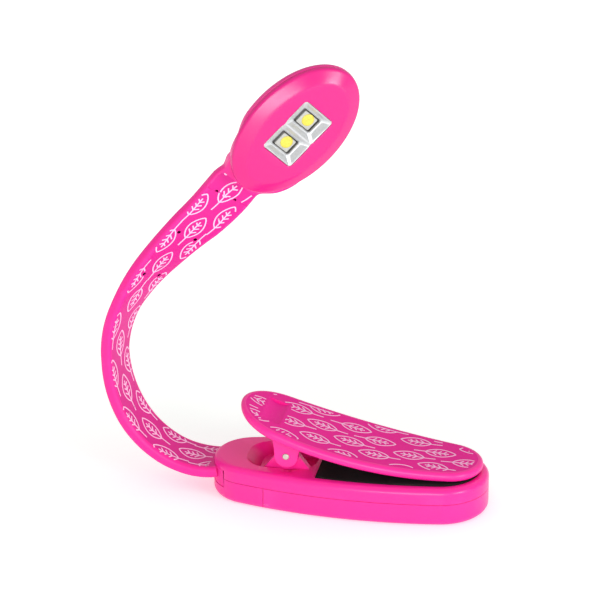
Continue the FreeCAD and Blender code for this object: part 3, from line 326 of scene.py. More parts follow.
# print ground, made darker than the clip's as painted shade on the neck's face and the flare
NECK_FILM_AND_SHADE = plastic("neck_print_ground_and_shade", (0.67, 0.007, 0.25), 0.48, 2600, 0.000006, 0.06, 0.03, 0.35)
INK = plastic("leaf_ink", (0.90, 0.48, 0.70), 0.55, 3000, 0.000006, 0.0, 0.04, 0.3)
PAD = plastic("grip_black", (0.006, 0.005, 0.005), 0.80, 1500, 0.00005, 0.0, 0.3, 0.15)
BUTTON = plastic("button_pink", (0.70, 0.010, 0.24), 0.42, 2400, 0.00002, 0.1)
# painted shade: near-black pink inside the mould holes, for the shade down in them
HOLE_SHADE = plastic("hole_painted_shade", (0.10, 0.001, 0.03), 0.6, 2600, 0.000004, 0.0, 0.05, 0.2)
BOARD = plastic("board_white", (0.70, 0.71, 0.68), 0.4, 1200, 0.00001)
CHIP = plastic("chip_black", (0.02, 0.02, 0.02), 0.5, 2000, 0.00002)
DIODE = plastic("led_white", (0.46, 0.455, 0.43), 0.4, 2500, 0.000004)
# painted shade: a near-black plate under each diode, for the shade in the well round the package
WELL_SHADE = plastic("well_painted_shade", (0.10, 0.095, 0.095), 0.5, 2500, 0.000004)
LEAD = plastic("lead_red", (0.45, 0.02, 0.02), 0.45, 1500, 0.00001)
STEEL = metal("pin_steel", (0.66, 0.64, 0.57), 0.42)
SPRING = metal("spring_steel", (0.55, 0.54, 0.52), 0.3, (1, 12, 1))
NICKEL = metal("nickel", (0.70, 0.67, 0.60), 0.3)
COPPER = metal("wire_copper", (0.72, 0.42, 0.26), 0.3, (6, 6, 1))
SILVER = silver_with_painted_well_shade()
PHOSPHOR = phosphor_material()

# ---------------------------------------------------------------- neck


def neck_state(distance):
    """Centre and unit vectors of the neck: out of its printed face, across it and along it."""
    x, z = NECK_START
    last = len(NECK_DIRECTIONS) - 2
    for index in range(last + 1):
        start = math.radians(NECK_DIRECTIONS[index])
        bend = math.radians(NECK_DIRECTIONS[index + 1]) - start
        share = distance / NECK_PITCH - index
        if share < 1 or index == last:
            break
        x += NECK_PITCH / bend * (math.sin(start + bend) - math.sin(start))
        z -= NECK_PITCH / bend * (math.cos(start + bend) - math.cos(start))
    way = start + bend * share
    x += NECK_PITCH / bend * (math.sin(way) - math.sin(start))
    z -= NECK_PITCH / bend * (math.cos(way) - math.cos(start))
    twist = math.radians(mix(NECK_TWISTS[index], NECK_TWISTS[index + 1], share))
    along = Vector((math.cos(way), 0, math.sin(way)))
    across = Vector((0, 1, 0))
    through = across.cross(along)
    face = through * math.cos(twist) - across * math.sin(twist)
    side = across * math.cos(twist) + through * math.sin(twist)
    return Vector((x, 0, z)), face, side, along


def edge_growth(distance):
    """How far the strip's two edges stand out from its nominal width: the far one, the near one."""
    far = 0.9 - 0.4 * smooth_step(distance, 4, 14) + 0.7 * smooth_step(distance, 70, 90)
    return far, 0.3 - 0.3 * smooth_step(distance, 3, 12) - 0.2 * smooth_step(distance, 25, 40)


def neck_loop(distance):
    """The strip's outline at a distance along it, with both edges grown."""
    centre, face, side, _ = neck_state(distance)
    outline = rounded_rectangle(NECK_THICKNESS, NECK_WIDTH, NECK_ROUND, 5, 4)
    far, near = edge_growth(distance)
    half = NECK_WIDTH / 2
    return [centre + face * x + side * y * (1 + (far if y > 0 else near) / half) for x, y in outline]


def lay_material_slot(target, slot_index, test):
    """Give a material slot, the printed ground or the mould holes' painted shade, to the faces whose middle
    and normal, in millimetres, pass a test.
    """
    for polygon in target.data.polygons:
        if test(polygon.center / MM, polygon.normal):
            polygon.material_index = slot_index


def film_on_neck(target):
    """The printed ground, made darker as painted shade, covers the flat of the strip's inner face."""
    outline = rounded_rectangle(NECK_THICKNESS, NECK_WIDTH, NECK_ROUND, 5, 4)
    count = len(outline)
    for polygon in target.data.polygons:
        if polygon.loop_total != 4:
            continue
        columns = {vertex % count for vertex in polygon.vertices}
        if all(outline[i][0] > NECK_THICKNESS / 2 - 0.02 for i in columns) and len(columns) == 2:
            polygon.material_index = 2


def neck_strip(name, start, end, steps):
    """One stretch of the strip, with its plastic, its ink and its printed ground."""
    points, faces = loft([neck_loop(mix(start, end, i / steps)) for i in range(steps + 1)])
    mesh = bpy.data.meshes.new(name)
    mesh.from_pydata([point * MM for point in points], [], faces)
    for material in (NECK, INK, NECK_FILM_AND_SHADE):
        mesh.materials.append(material)
    strip = new_object(name, mesh)
    film_on_neck(strip)
    finish_mesh(mesh, 50)
    for place in MOULD_HOLES:
        if start < place < end:
            for across in (-HOLE_ACROSS, HOLE_ACROSS):
                mould_hole(strip, place, across)
    return strip


def mould_hole(target, distance, across):
    """A small blind hole in the printed face, with painted shade on its inside."""
    centre, face, side, along = neck_state(distance)
    foot = centre + side * across
    turns = [2 * math.pi * i / 16 for i in range(16)]
    loops = [[foot + face * depth + (side * math.cos(a) + along * math.sin(a)) * HOLE_RADIUS for a in turns]
             for depth in (HOLE_FLOOR, HOLE_TOP)]
    combine(target, piece("hole", *loft(loops), None), "DIFFERENCE")
    # painted shade for the hole's inside
    target.data.materials.append(HOLE_SHADE)

    def within(place, normal):
        offset = Vector(place) - foot
        depth = offset.dot(face)
        below_rim = HOLE_FLOOR - 0.1 < depth < NECK_THICKNESS / 2 - 0.2
        return below_rim and (offset - face * depth).length < HOLE_RADIUS + 0.02

    lay_material_slot(target, len(target.data.materials) - 1, within)


def neck_surface(distance, across, lift):
    """A point over the neck's printed face."""
    centre, face, side, _ = neck_state(distance)
    return centre + side * across + face * (NECK_THICKNESS / 2 + lift), face


def neck_distance_of(place):
    """How far along the neck a joint lies."""
    place = Vector(place) / MM
    steps = [i * 0.05 for i in range(int(NECK_PITCH * 7 / 0.05))]
    return min(steps, key=lambda d: (neck_state(d)[0] - place).length)


def neck_strips():
    """One continuous strip in stretches, each with a bending or twisting joint of the neck in its middle.
    """
    joints = [j for j in frame["joints"] if j["name"].startswith("neck_")]
    places = [neck_distance_of(joint["pos_m"]) for joint in joints]
    shares = []
    for joint, after in zip(joints, joints[1:]):
        twists, twists_after = "twist" in joint["name"], "twist" in after["name"]
        shares.append(0.62 if twists else 0.38 if twists_after else 0.5)
    middles = [mix(a, b, share) for a, b, share in zip(places, places[1:], shares)]
    ends = [places[0] / 2] + middles + [places[-1] + 3.2]
    strips = []
    for index, joint in enumerate(joints):
        start, end = ends[index], ends[index + 1]
        steps = max(8, round((end - start) / 0.6))
        strip = neck_strip(f"neck_strip_{index + 1}", start, end, steps)
        strips.append((strip, joint, start, end))
    root = neck_strip("neck_strip_root", 0.6, ends[0], 6)
    return root, strips


# ---------------------------------------------------------------- leaf print


def leaf_strokes(reach=3.6, half=1.95, stem=2.7):
    """Strokes of one leaf, in millimetres: its outline, its midrib with the stem, its veins."""
    strokes = []
    for side in (-1, 1):
        outline = []
        for step in range(15):
            share = step / 14
            out = half * math.sin(math.pi * share) ** 0.72 * (1.08 - 0.22 * share)
            outline.append((-reach + 2 * reach * share, side * out))
        strokes.append(outline)
    midrib = stem + 1.55 * reach
    strokes.append([(-reach - stem + midrib * i / 10, 0.12 * math.sin(i * 0.5)) for i in range(11)])
    for start in (-1.9, -0.6, 0.7):
        for side in (-1, 1):
            length = 1.15 - 0.12 * (start + 1.9)
            strokes.append([(start + length * 0.8 * t, side * length * t) for t in (0, 0.5, 1)])
    return strokes


def densify(stroke, step=0.45):
    points = [stroke[0]]
    for (ax, ay), (bx, by) in zip(stroke, stroke[1:]):
        count = max(1, math.ceil(math.hypot(bx - ax, by - ay) / step))
        points += [(mix(ax, bx, i / count), mix(ay, by, i / count)) for i in range(1, count + 1)]
    return points


def place_leaf(along, across, forward, turn=0.0, scale=1.0):
    """A leaf's strokes in surface coordinates; forward is 1 or -1 along the surface."""
    c, s = math.cos(turn) * forward * scale, math.sin(turn) * forward * scale
    return [[(along + x * c - y * s, across + x * s + y * c) for x, y in densify(stroke)]
            for stroke in leaf_strokes()]


def runs_inside(stroke, inside):
    """Parts of a stroke whose points all pass a test."""
    run, runs = [], []
    for point in stroke:
        if inside(*point):
            run.append(point)
            continue
        if len(run) > 1:
            runs.append(run)
        run = []
    if len(run) > 1:
        runs.append(run)
    return runs


INK_HALF_WIDTH, INK_RISE, INK_ROOT = 0.155, 0.025, -0.06


def ribbon(run, surface):
    """Points and faces of a thin raised line that follows a surface."""
    places = [surface(a, b, 0) for a, b in run]
    loops = []
    for i, (place, up) in enumerate(places):
        before, after = places[max(0, i - 1)][0], places[min(len(places) - 1, i + 1)][0]
        aside = (after - before).cross(up).normalized() * INK_HALF_WIDTH
        loops.append([place + aside + up * INK_RISE, place - aside + up * INK_RISE,
                      place - aside + up * INK_ROOT, place + aside + up * INK_ROOT])
    return loft(loops)


def add_print(target, runs, surface, slot_index):
    """Add ribbons to a mesh, as its own islands in a second material."""
    grow = bmesh.new()
    grow.from_mesh(target.data)
    for run in runs:
        points, faces = ribbon(run, surface)
        verts = [grow.verts.new(point * MM) for point in points]
        for face in faces:
            made = grow.faces.new([verts[i] for i in face])
            made.material_index = slot_index
            made.smooth = False
    bmesh.ops.recalc_face_normals(grow, faces=[f for f in grow.faces if f.material_index == slot_index])
    grow.to_mesh(target.data)
    grow.free()


def leaf_lanes(lanes, low, high, pitch, turned):
    """Leaves in staggered lanes; a share of them is turned end for end."""
    strokes = []
    for lane, across in enumerate(lanes):
        place = low + (lane % 2) * pitch / 2 + rng.uniform(-0.4, 0.4)
        while place < high:
            forward = -1 if rng.random() < turned else 1
            lean = rng.uniform(-0.08, 0.08)
            strokes += place_leaf(place, across + rng.uniform(-0.15, 0.15), forward, lean, 0.95)
            place += pitch + rng.uniform(-0.3, 0.3)
    return strokes


def print_neck(root, strips, strokes):
    """Share the neck's leaves out over its strips, each line cut where a strip ends."""
    edge, overlap, clearing = NECK_WIDTH / 2 - 0.6, 0.23, 0.6
    holes = [*MOULD_HOLES, FLARE_HOLE]
    targets = [(root, 2.6, strips[0][2])] + [(strip, start, end) for strip, _, start, end in strips]
    for target, start, end in targets:
        def inside(along, across):
            near = any(math.hypot(along - hole, abs(across) - HOLE_ACROSS) < clearing for hole in holes)
            return start - overlap <= along <= end + overlap and abs(across) < edge and not near

        runs = [run for stroke in strokes for run in runs_inside(stroke, inside)]
        add_print(target, runs, neck_surface, 1)


# ---------------------------------------------------------------- head


def to_lamp(points):
    """Points in head axes, moved to where the head is."""
    return [HEAD @ Vector(point) for point in points]


def oval(inset, height, count=96):
    a, b = HEAD_LENGTH - inset, HEAD_WIDTH - inset
    return [(a * math.cos(2 * math.pi * i / count), b * math.sin(2 * math.pi * i / count), height)
            for i in range(count)]


def window_loop(grow, height, count=96):
    """The window's outline, at the same bearings as the oval's points."""
    a, b = WINDOW_LENGTH / 2 + grow, WINDOW_WIDTH / 2 + grow
    waist = 0.28
    power = 14
    loop = []
    for i in range(count):
        angle = 2 * math.pi * i / count
        c, s = HEAD_LENGTH * math.cos(angle), HEAD_WIDTH * math.sin(angle)
        reach = 1 / (abs(c / a) ** power + abs(s / b) ** power) ** (1 / power)
        x, y = c * reach, s * reach
        if abs(y) > b * 0.9:
            y -= math.copysign(waist * math.exp(-((x / 0.8) ** 2)), y)
        loop.append((x, y, height))
    return loop


def mixed(first, second, share, height):
    return [(mix(p[0], q[0], share), mix(p[1], q[1], share), height) for p, q in zip(first, second)]


def head_cover():
    """The domed front: steep rim, rounded ridge, shallow crown, flat face and the window."""
    profile = [(0.25, 0.0), (0.06, 0.06), (0.0, 0.2), (0.05, 0.6), (0.14, 0.86), (0.27, 1.02), (0.45, 1.14),
               (0.7, 1.27), (1.3, 1.58), (2.0, 1.93), (2.6, 2.22), (2.95, 2.37), (3.2, 2.45), (3.45, 2.49)]
    loops = [oval(inset, height) for inset, height in profile]
    face, edge = oval(3.8, 2.5), window_loop(0.14, COVER_HEIGHT)
    loops += [mixed(face, edge, t, COVER_HEIGHT) for t in (0.12, 0.4, 0.7, 1)]
    loops += [window_loop(0.04, COVER_HEIGHT - 0.04), window_loop(0.0, COVER_HEIGHT - 0.16)]
    loops += [window_loop(0.0, 1.15), mixed(window_loop(0, 0), oval(2.6, 0), 0.6, 1.1)]
    loops += [oval(2.6, 1.0), oval(1.3, 0.0)]
    points, faces = loft(loops, ring=True)
    return piece("head_cover", to_lamp(points), faces, HEAD_SHELL_SHADED, 50)


def cup_section(along):
    """One section of the head's back across its long axis, from the neck's width to the tip."""
    share = max(0.0, 1 - (along / HEAD_LENGTH) ** 2)
    fade = 1 - smooth_step(along, -15.0, -8.0)
    own = HEAD_WIDTH * math.sqrt(share)
    half = (own**3 + (NECK_WIDTH / 2 * fade) ** 3) ** (1 / 3)
    dome = CUP_DEPTH * share**0.42
    middle = mix(-4.75, -3.4, smooth_step(along, -20.0, -12.0))
    shift = mix(-1.0, -1.5, smooth_step(along, -21.0, -15.0)) * (1 - smooth_step(along, -14.0, -4.0))
    front = mix(middle + NECK_THICKNESS / 2, -0.05, smooth_step(along, -18.5, -11.0))
    neck_back = (NECK_THICKNESS / 2 - middle) * fade
    back = -((dome**4 + neck_back**4) ** 0.25)
    belly = smooth_step(along, -18.0, -9.0)
    split = mix((front + back) / 2, front - 0.3 * min(1, dome), belly)
    upper, lower = mix(4.5, 5.0, belly), mix(4.5, 2.1, belly)
    loop = []
    for i in range(72):
        angle = 2 * math.pi * i / 72
        c, s = math.cos(angle), math.sin(angle)
        power = upper if s > 0 else lower
        wide = half + (1.2 if c > 0 else -0.2) * (1 - smooth_step(along, -20.5, -15.5))
        y = math.copysign(abs(c) ** (2 / power), c) * wide
        reach = (front - split) if s > 0 else (split - back)
        loop.append((along, -y + shift, split + math.copysign(abs(s) ** (2 / power), s) * reach))
    return loop


def flare_surface(cup):
    """The front of the flare, as a continuation of the neck's printed face."""
    tree = cup_tree(cup)
    start = HEAD.inverted() @ neck_state(FLARE_PRINT)[0]
    toward = TURN.to_3x3() @ Vector((0, 0, -1))

    def surface(distance, across, lift):
        along = start.x + distance - FLARE_PRINT
        drift = mix(start.y, -1.5, smooth_step(along, start.x, -16.0))
        origin = HEAD @ Vector((along, drift - across * (1 + 0.03 * (along - start.x)), 6.0))
        place, normal, _, _ = tree.ray_cast(origin * MM, toward)
        if place is None or normal.dot(toward) > -0.9 or (place / MM - origin).length > 12.5:
            return None
        return place / MM + normal * lift, normal

    return surface


def cup_tree(cup):
    """A search tree over the cup's faces, for laying print on them."""
    from mathutils.bvhtree import BVHTree
    return BVHTree.FromPolygons([v.co for v in cup.data.vertices], [p.vertices for p in cup.data.polygons])


def print_flare(cup, strokes):
    """The neck's film and leaves, carried on over the flare as far as the head's rim."""
    for material in (INK, NECK_FILM_AND_SHADE):
        cup.data.materials.append(material)
    out = TURN.to_3x3() @ Vector((0, 0, 1))

    def on_flare(centre, normal):
        place = HEAD.inverted() @ Vector(centre)
        return place.x < -11 and normal.dot(out) > 0.93 and place.z > -6

    lay_material_slot(cup, 2, on_flare)
    surface = flare_surface(cup)

    def inside(along, across):
        near = CUP_JOIN + 0.35 < along < CUP_JOIN + 8 and abs(across) < NECK_WIDTH / 2 - 0.2
        return near and surface(along, across, 0) is not None

    runs = [run for stroke in strokes for run in runs_inside(stroke, inside)]
    add_print(cup, runs, surface, 1)


def neck_as_section(distance):
    """The neck's section, with as many points as the cup's and starting at the same side."""
    centre, face, side, _ = neck_state(distance)
    loop = []
    for i in range(72):
        angle = 2 * math.pi * i / 72
        c, s = math.cos(angle), math.sin(angle)
        far, near = edge_growth(distance)
        y = math.copysign(abs(c) ** (2 / 4.5), c) * (NECK_WIDTH / 2 + (far if c > 0 else near))
        x = math.copysign(abs(s) ** (2 / 4.5), s) * NECK_THICKNESS / 2
        loop.append(centre + face * x + side * y)
    return loop


def head_cup():
    """The head's back and the flare that joins it to the neck, hollow, with the button's bore."""
    loops = [neck_as_section(CUP_JOIN + i * 0.5) for i in range(2)]
    first = to_lamp(cup_section(-19.6))
    last = loops[-1]
    loops += [[p.lerp(q, t) for p, q in zip(last, first)] for t in (0.4, 0.8)]
    places = [-19.4 + 0.55 * i for i in range(20)]
    start = math.asin(places[-1] / HEAD_LENGTH)
    places += [HEAD_LENGTH * math.sin(mix(start, math.pi / 2, i / 34)) for i in range(1, 34)]
    loops += [to_lamp(cup_section(place)) for place in places]
    loops.append(to_lamp([(HEAD_LENGTH - 0.004, 0.002 * math.cos(i / 72 * 2 * math.pi),
                           -0.3 + 0.002 * math.sin(i / 72 * 2 * math.pi)) for i in range(72)]))
    cup = piece("head_cup", *loft(loops), CUP, 50)
    hollow = [oval(1.3, 0.3), oval(1.6, -1.0), oval(5.5, -3.4)]
    tool = piece("hollow", *loft([to_lamp(loop) for loop in hollow]), None)
    combine(cup, tool, "DIFFERENCE")
    bore = [[(3 + 2.75 * math.cos(i / 48 * 2 * math.pi), 2.75 * math.sin(i / 48 * 2 * math.pi), height)
             for i in range(48)] for height in (-7.5, -3.5)]
    tool = piece("bore", *loft([to_lamp(loop) for loop in bore]), None)
    return combine(cup, tool, "DIFFERENCE")


def head_lip():
    """The cup's lip under the cover, which reaches down to the flare at the neck's end."""
    def lip(inset, low):
        loop = []
        for x, y, _ in oval(inset, 0):
            depth = mix(2.7, 0.9, smooth_step(x, -15.5, -8))
            loop.append((x, y, -depth if low else -0.02))
        return loop

    points, faces = loft([lip(0.5, False), lip(0.5, True), lip(1.25, True), lip(1.25, False)], ring=True)
    return piece("head_lip", to_lamp(points), faces, CUP, 50)


def print_head_holes(cup):
    """The last pair of mould holes, in the flare."""
    for across in (-HOLE_ACROSS, HOLE_ACROSS):
        mould_hole(cup, FLARE_HOLE, across)


# ---------------------------------------------------------------- clip


def tangent_outline(low, high, low_radius, high_radius, side_radius, inset=0.0, steps=(20, 30, 20)):
    """Points round two end arcs and two long side arcs that touch them."""
    first, last = low + low_radius, high - high_radius
    span = last - first
    to_low, to_high = side_radius - low_radius, side_radius - high_radius
    across = (to_low**2 - to_high**2 + span**2) / (2 * span)
    centre = (first + across, -math.sqrt(to_low**2 - across**2))
    low_angle = math.atan2(-centre[1], first - centre[0])
    high_angle = math.atan2(-centre[1], last - centre[0])
    points = []

    def sweep(cx, cy, radius, start, end, count):
        for i in range(count):
            angle = mix(start, end, i / count)
            points.append((cx + radius * math.cos(angle), cy + radius * math.sin(angle)))

    sweep(last, 0, high_radius - inset, -high_angle, high_angle, steps[2])
    sweep(*centre, side_radius - inset, high_angle, low_angle, steps[1])
    sweep(first, 0, low_radius - inset, low_angle, 2 * math.pi - low_angle, steps[0])
    sweep(centre[0], -centre[1], side_radius - inset, -low_angle, -high_angle, steps[1])
    return points


def clip_outline(inset):
    return tangent_outline(CLIP_TAIL, CLIP_TIP, *CLIP_RADII, inset, (40, 60, 40))


def arch(x, offset):
    """Height of a surface parallel to the clip's bent middle."""
    return CLIP_TIP_MIDDLE + CLIP_ARCH - math.sqrt((CLIP_ARCH - offset) ** 2 - (x - CLIP_TIP) ** 2)


def clip_surface(x, y, lift):
    slope = math.asin((CLIP_TIP - x) / CLIP_ARCH)
    up = Vector((math.sin(slope), 0, math.cos(slope)))
    return Vector((x, y, arch(x, CLIP_THICKNESS / 2))) + up * lift, up


def spine_fill(outline, spine, height, steps):
    """Loops that close an outline down to a line along its middle."""
    loops = []
    for step in range(1, steps + 1):
        share = step / steps
        loop = []
        for x, y in outline:
            middle = min(max(x, spine[0]), spine[1])
            px, py = mix(x, middle, share), mix(y, 0, share)
            loop.append((px, py, height(px)))
        loops.append(loop)
    return loops


def on_print(place):
    """Whether a point of the clip's top lies inside the printed ground's border."""
    border = clip_outline(FILM_INSET - 0.05)
    inside = abs(place.y) < half_width_at(border, place.x)
    return inside and abs(place.z - arch(place.x, CLIP_THICKNESS / 2)) < 0.65


def lug_outline():
    """The side view of a lug: round the pin at its foot, widening up into the plate."""
    x, z, radius = PIN[0], PIN[1], 2.7
    points = []
    for i in range(25):
        angle = math.radians(mix(172, 362, i / 24))
        points.append((x + radius * math.cos(angle), z + radius * math.sin(angle)))
    high, low = -9.1, -16.9
    rise_high, rise_low = arch(high, 0), arch(low, 0)
    for i in range(1, 7):
        share = i / 6
        points.append((mix(points[24][0], high, share**1.6), mix(points[24][1], rise_high, share)))
    for i in range(7):
        share = 1 - i / 6
        points.append((mix(points[0][0], low, share**1.6), mix(points[0][1], rise_low, share)))
    return points[:-1]


def clip_lever():
    """The arched plate with its bull-nosed edge, the thumb dish and the two lugs."""
    half, nose = CLIP_THICKNESS / 2, 1.0
    spine = (CLIP_TAIL + 11, CLIP_TIP - 9)
    top = clip_outline(nose)
    film = clip_outline(FILM_INSET)
    loops = spine_fill(film, spine, lambda x: arch(x, half), 8)[::-1]
    loops.append([(x, y, arch(x, half)) for x, y in film])
    for step in range(13):
        angle = math.pi / 2 - math.pi * step / 12
        outline = clip_outline(nose * (1 - math.cos(angle)))
        lift = (half - nose) * (1 if angle >= 0 else -1) + nose * math.sin(angle)
        loops.append([(x, y, arch(x, lift)) for x, y in outline])
    loops += spine_fill(top, spine, lambda x: arch(x, -half), 8)
    plate = piece("clip_plate", *loft(loops, caps=False), CLIP, 35)
    for side in (-1, 1):
        levels = [(6.35, 0.12), (6.47, 0.0), (7.88, 0.0), (8.0, 0.12)]
        outline = lug_outline()
        middle = (sum(p[0] for p in outline) / len(outline), sum(p[1] for p in outline) / len(outline))
        lug_loops = []
        for y, inset in levels:
            shrink = 1 - inset / 3.0
            lug_loops.append([(mix(middle[0], px, shrink), side * y, mix(middle[1], pz, shrink))
                              for px, pz in outline])
        lug = piece("lug", *loft(lug_loops), None, 40)
        combine(plate, lug, "UNION")
    turns = [i / 24 * 2 * math.pi for i in range(24)]
    bore = [[(PIN[0] + PIN_BORE * math.cos(a), y, PIN[1] + PIN_BORE * math.sin(a)) for a in turns]
            for y in (-9, 9)]
    combine(plate, piece("bore", *loft(bore), None), "DIFFERENCE")
    origin, up = clip_surface(DISH_X, 0, DISH_RADIUS - DISH_DEPTH)
    forward = Vector((up.z, 0, -up.x))
    turns = [2 * math.pi * i / 72 for i in range(72)]
    loops = [[origin + Vector((0, y, 0)) + (forward * math.cos(a) + up * math.sin(a)) * DISH_RADIUS
              for a in turns] for y in (-5.3, 5.3)]
    combine(plate, piece("dish", *loft(loops), None), "DIFFERENCE")
    plate.data.materials.append(INK)
    plate.data.materials.append(FILM)
    lay_material_slot(plate, 2, lambda centre, normal: normal.z > 0.6 and on_print(centre))
    return plate


def half_width_at(outline, x):
    """Half the width of an outline at a place along it, or a negative number beyond its ends."""
    crossings = [-1.0]
    for (ax, ay), (bx, by) in zip(outline, outline[1:] + outline[:1]):
        if min(ax, bx) <= x <= max(ax, bx) and ax != bx:
            crossings.append(abs(mix(ay, by, (x - ax) / (bx - ax))))
    return max(crossings)


def print_clip(plate):
    """Lanes of leaves on the clip's top, inside its border and clear of the thumb dish."""
    border = clip_outline(1.7)
    low, high = min(p[0] for p in border), max(p[0] for p in border)

    def inside(x, y):
        if not low < x < high or abs(y) > half_width_at(border, x):
            return False
        return not (abs(x - DISH_X) < 2.7 and abs(y) < 5.6)

    lanes = [-8.7, -5.2, -1.8, 1.7, 5.2, 8.6]
    strokes = leaf_lanes(lanes, CLIP_TAIL - 2.2, CLIP_TIP + 6, 13.4, 0.62)
    runs = [run for stroke in strokes for run in runs_inside(stroke, inside)]
    add_print(plate, runs, clip_surface, 1)


# ---------------------------------------------------------------- spring


def spring_path():
    """The spring's wire round the pin: the leg on the base and the coil, then the leg on the clip."""
    radius, width, first, last, aside = 1.55, 5.28, -60, 98, 0.1
    turns = 8 + (last - first) / 360
    low, high = Vector((PIN[0], -width / 2, PIN[1])), Vector((PIN[0], width / 2, PIN[1]))

    def around(centre, degrees):
        angle = math.radians(degrees)
        outward = Vector((math.cos(angle), 0, math.sin(angle)))
        return centre + outward * radius, Vector((-outward.z, 0, outward.x))

    start, along = around(low, first)
    path = [start - along * length for length in (6.0, 4.5, 3.0, 1.5, 0.6)]
    steps = int(turns * 24)
    for i in range(steps + 1):
        path.append(around(low.lerp(high, i / steps), first + 360 * turns * i / steps)[0])
    start, along = around(high + Vector((0, aside, 0)), last)
    leg = [start + along * length for length in (0.05, 0.8, 2.2, 3.8, 5.4, 6.7)]
    return path, leg


def tube(name, path, radius, material, sides=10):
    """A closed tube along points, with its rings turned smoothly along the path."""
    loops = []
    up = Vector((0, 1, 0))
    for i, place in enumerate(path):
        along = (path[min(i + 1, len(path) - 1)] - path[max(i - 1, 0)]).normalized()
        side = along.cross(up).normalized()
        up = side.cross(along).normalized()
        loops.append([place + (side * math.cos(a) + up * math.sin(a)) * radius
                      for a in (2 * math.pi * k / sides for k in range(sides))])
    return piece(name, *loft(loops), material, 60)


# ---------------------------------------------------------------- diodes


def head_block(name, centre, size, levels, material, radius=0.25):
    """A rounded block in head axes; levels are pairs of inset and height."""
    loops = []
    for inset, height in levels:
        length, width = size[0] - 2 * inset, size[1] - 2 * inset
        outline = rounded_rectangle(length, width, max(0.05, radius - inset), 4, 2)
        loops.append(to_lamp([(centre[0] + x, centre[1] + y, height) for x, y in outline]))
    return piece(name, *loft(loops), material, 35)


def diode(name, along):
    """A diode low in its well: a dark floor plate as painted shade round the package, the pale package and
    its domed yellow dot.
    """
    floor = head_block(f"{name}_floor", (along, 0), (3.6, 4.9), [(0, -0.28), (0, -0.05)], WELL_SHADE)
    package = head_block(f"{name}_package", (along - 0.15, -0.38), (3.25, 3.85),
                         [(0, -0.02), (0, 0.42), (0.1, 0.52)], DIODE)
    loops = []
    dome = [(1.42, 0.45), (1.42, 0.54), (1.3, 0.62), (0.95, 0.68), (0.5, 0.71), (0.05, 0.72)]
    for radius, height in dome:
        loops.append(to_lamp([(along + 0.12 + radius * math.cos(a), -0.45 + radius * math.sin(a), height)
                              for a in (2 * math.pi * i / 40 for i in range(40))]))
    dot = piece(f"{name}_dot", *loft(loops), PHOSPHOR, 60)
    return floor, package, dot


# ---------------------------------------------------------------- CAD nodes that stay


def dress(name, material, edge=0.0):
    """Give a CAD node its material, smooth faces and, where asked, softened edges."""
    thing = frame["nodes"][name]
    thing.data.materials.clear()
    thing.data.materials.append(material)
    for face in thing.data.polygons:
        face.use_smooth = True
        face.material_index = 0
    weld = thing.modifiers.new("weld", "WELD")
    weld.merge_threshold = 2e-6
    if edge:
        soft = thing.modifiers.new("soft", "BEVEL")
        soft.width = edge * MM
        soft.segments = 2
        soft.limit_method = "ANGLE"
        soft.angle_limit = math.radians(38)
        soft.harden_normals = False
    even = thing.modifiers.new("even", "WEIGHTED_NORMAL")
    even.keep_sharp = True
    return thing


def place_neck():
    """The strip with its print; the root stretch is attached to the base and the other stretches stay where
    they are made.
    """
    root, strips = neck_strips()
    strokes = leaf_lanes((-3.9, 0.0, 3.8), 2.0, 104.0, 11.9, 0.3)
    print_neck(root, strips, strokes)
    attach(root, "base")
    for index, (strip, joint, start, end) in enumerate(strips):
        low, high = neck_state(start + 0.4)[0] * MM, neck_state(end - 0.4)[0] * MM
        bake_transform(strip)
        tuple(low)
        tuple(high)
        if index < 8:
            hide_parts(f"neck_sleeve_{index + 1}")
    return root, strokes


def root_block():
    """The block on the neck's end that fills the slot in the base's heel."""
    def loop(inset, height):
        outline = tangent_outline(-BASE_END, BASE_END, *BASE_RADII, 0.01 + inset, (120, 60, 24))
        kept = [(x, y) for x, y in outline if x < HEEL_CUT]
        half = half_width_at(outline, HEEL_CUT)
        return [(x, y, height) for x, y in [(HEEL_CUT, half)] + kept + [(HEEL_CUT, -half)]]

    levels = [(0.1, 3.3), (0, 3.4), (0, 7.34)]
    return piece("neck_root_block", *loft([loop(inset, z) for inset, z in levels]), NECK, 40)


def stage():
    """A white floor that gives off light of its own, more further out, and a white surround."""
    size = 3.0
    floor = bpy.data.meshes.new("floor")
    corners = [(-size, -size, 0), (size, -size, 0), (size, size, 0), (-size, size, 0)]
    floor.from_pydata(corners, [], [(0, 1, 2, 3)])
    ground = new_object("floor", floor)
    material, nodes, links, shader = new_material("floor_white")
    shader.inputs["Base Color"].default_value = (0.84, 0.88, 0.84, 1)
    shader.inputs["Roughness"].default_value = 0.7
    shader.inputs["Specular IOR Level"].default_value = 0.1
    shader.inputs["Emission Color"].default_value = (1, 1, 1, 1)
    place = nodes.new("ShaderNodeTexCoord")
    reach = nodes.new("ShaderNodeVectorMath")
    reach.operation = "LENGTH"
    links.new(place.outputs["Object"], reach.inputs[0])
    glow = nodes.new("ShaderNodeMapRange")
    for name, value in (("From Min", 0.06), ("From Max", 0.24), ("To Min", 0.40), ("To Max", 0.62)):
        glow.inputs[name].default_value = value
    links.new(reach.outputs["Value"], glow.inputs["Value"])
    links.new(glow.outputs["Result"], shader.inputs["Emission Strength"])
    floor.materials.append(material)
    world = bpy.data.worlds.new("surround")
    bpy.context.scene.world = world
    world.use_nodes = True
    world.node_tree.nodes["Background"].inputs["Color"].default_value = (1, 1, 1, 1)
    world.node_tree.nodes["Background"].inputs["Strength"].default_value = 0.64


def area_light(name, place, target, size, power):
    """A white rectangle of light at a place, in metres, that faces a target."""
    light = bpy.data.lights.new(name, "AREA")
    light.shape = "RECTANGLE"
    light.size, light.size_y = size
    light.energy = power
    thing = new_object(name, light)
    thing.location = place
    direction = Vector(target) - Vector(place)
    thing.rotation_euler = direction.to_track_quat("-Z", "Y").to_euler()


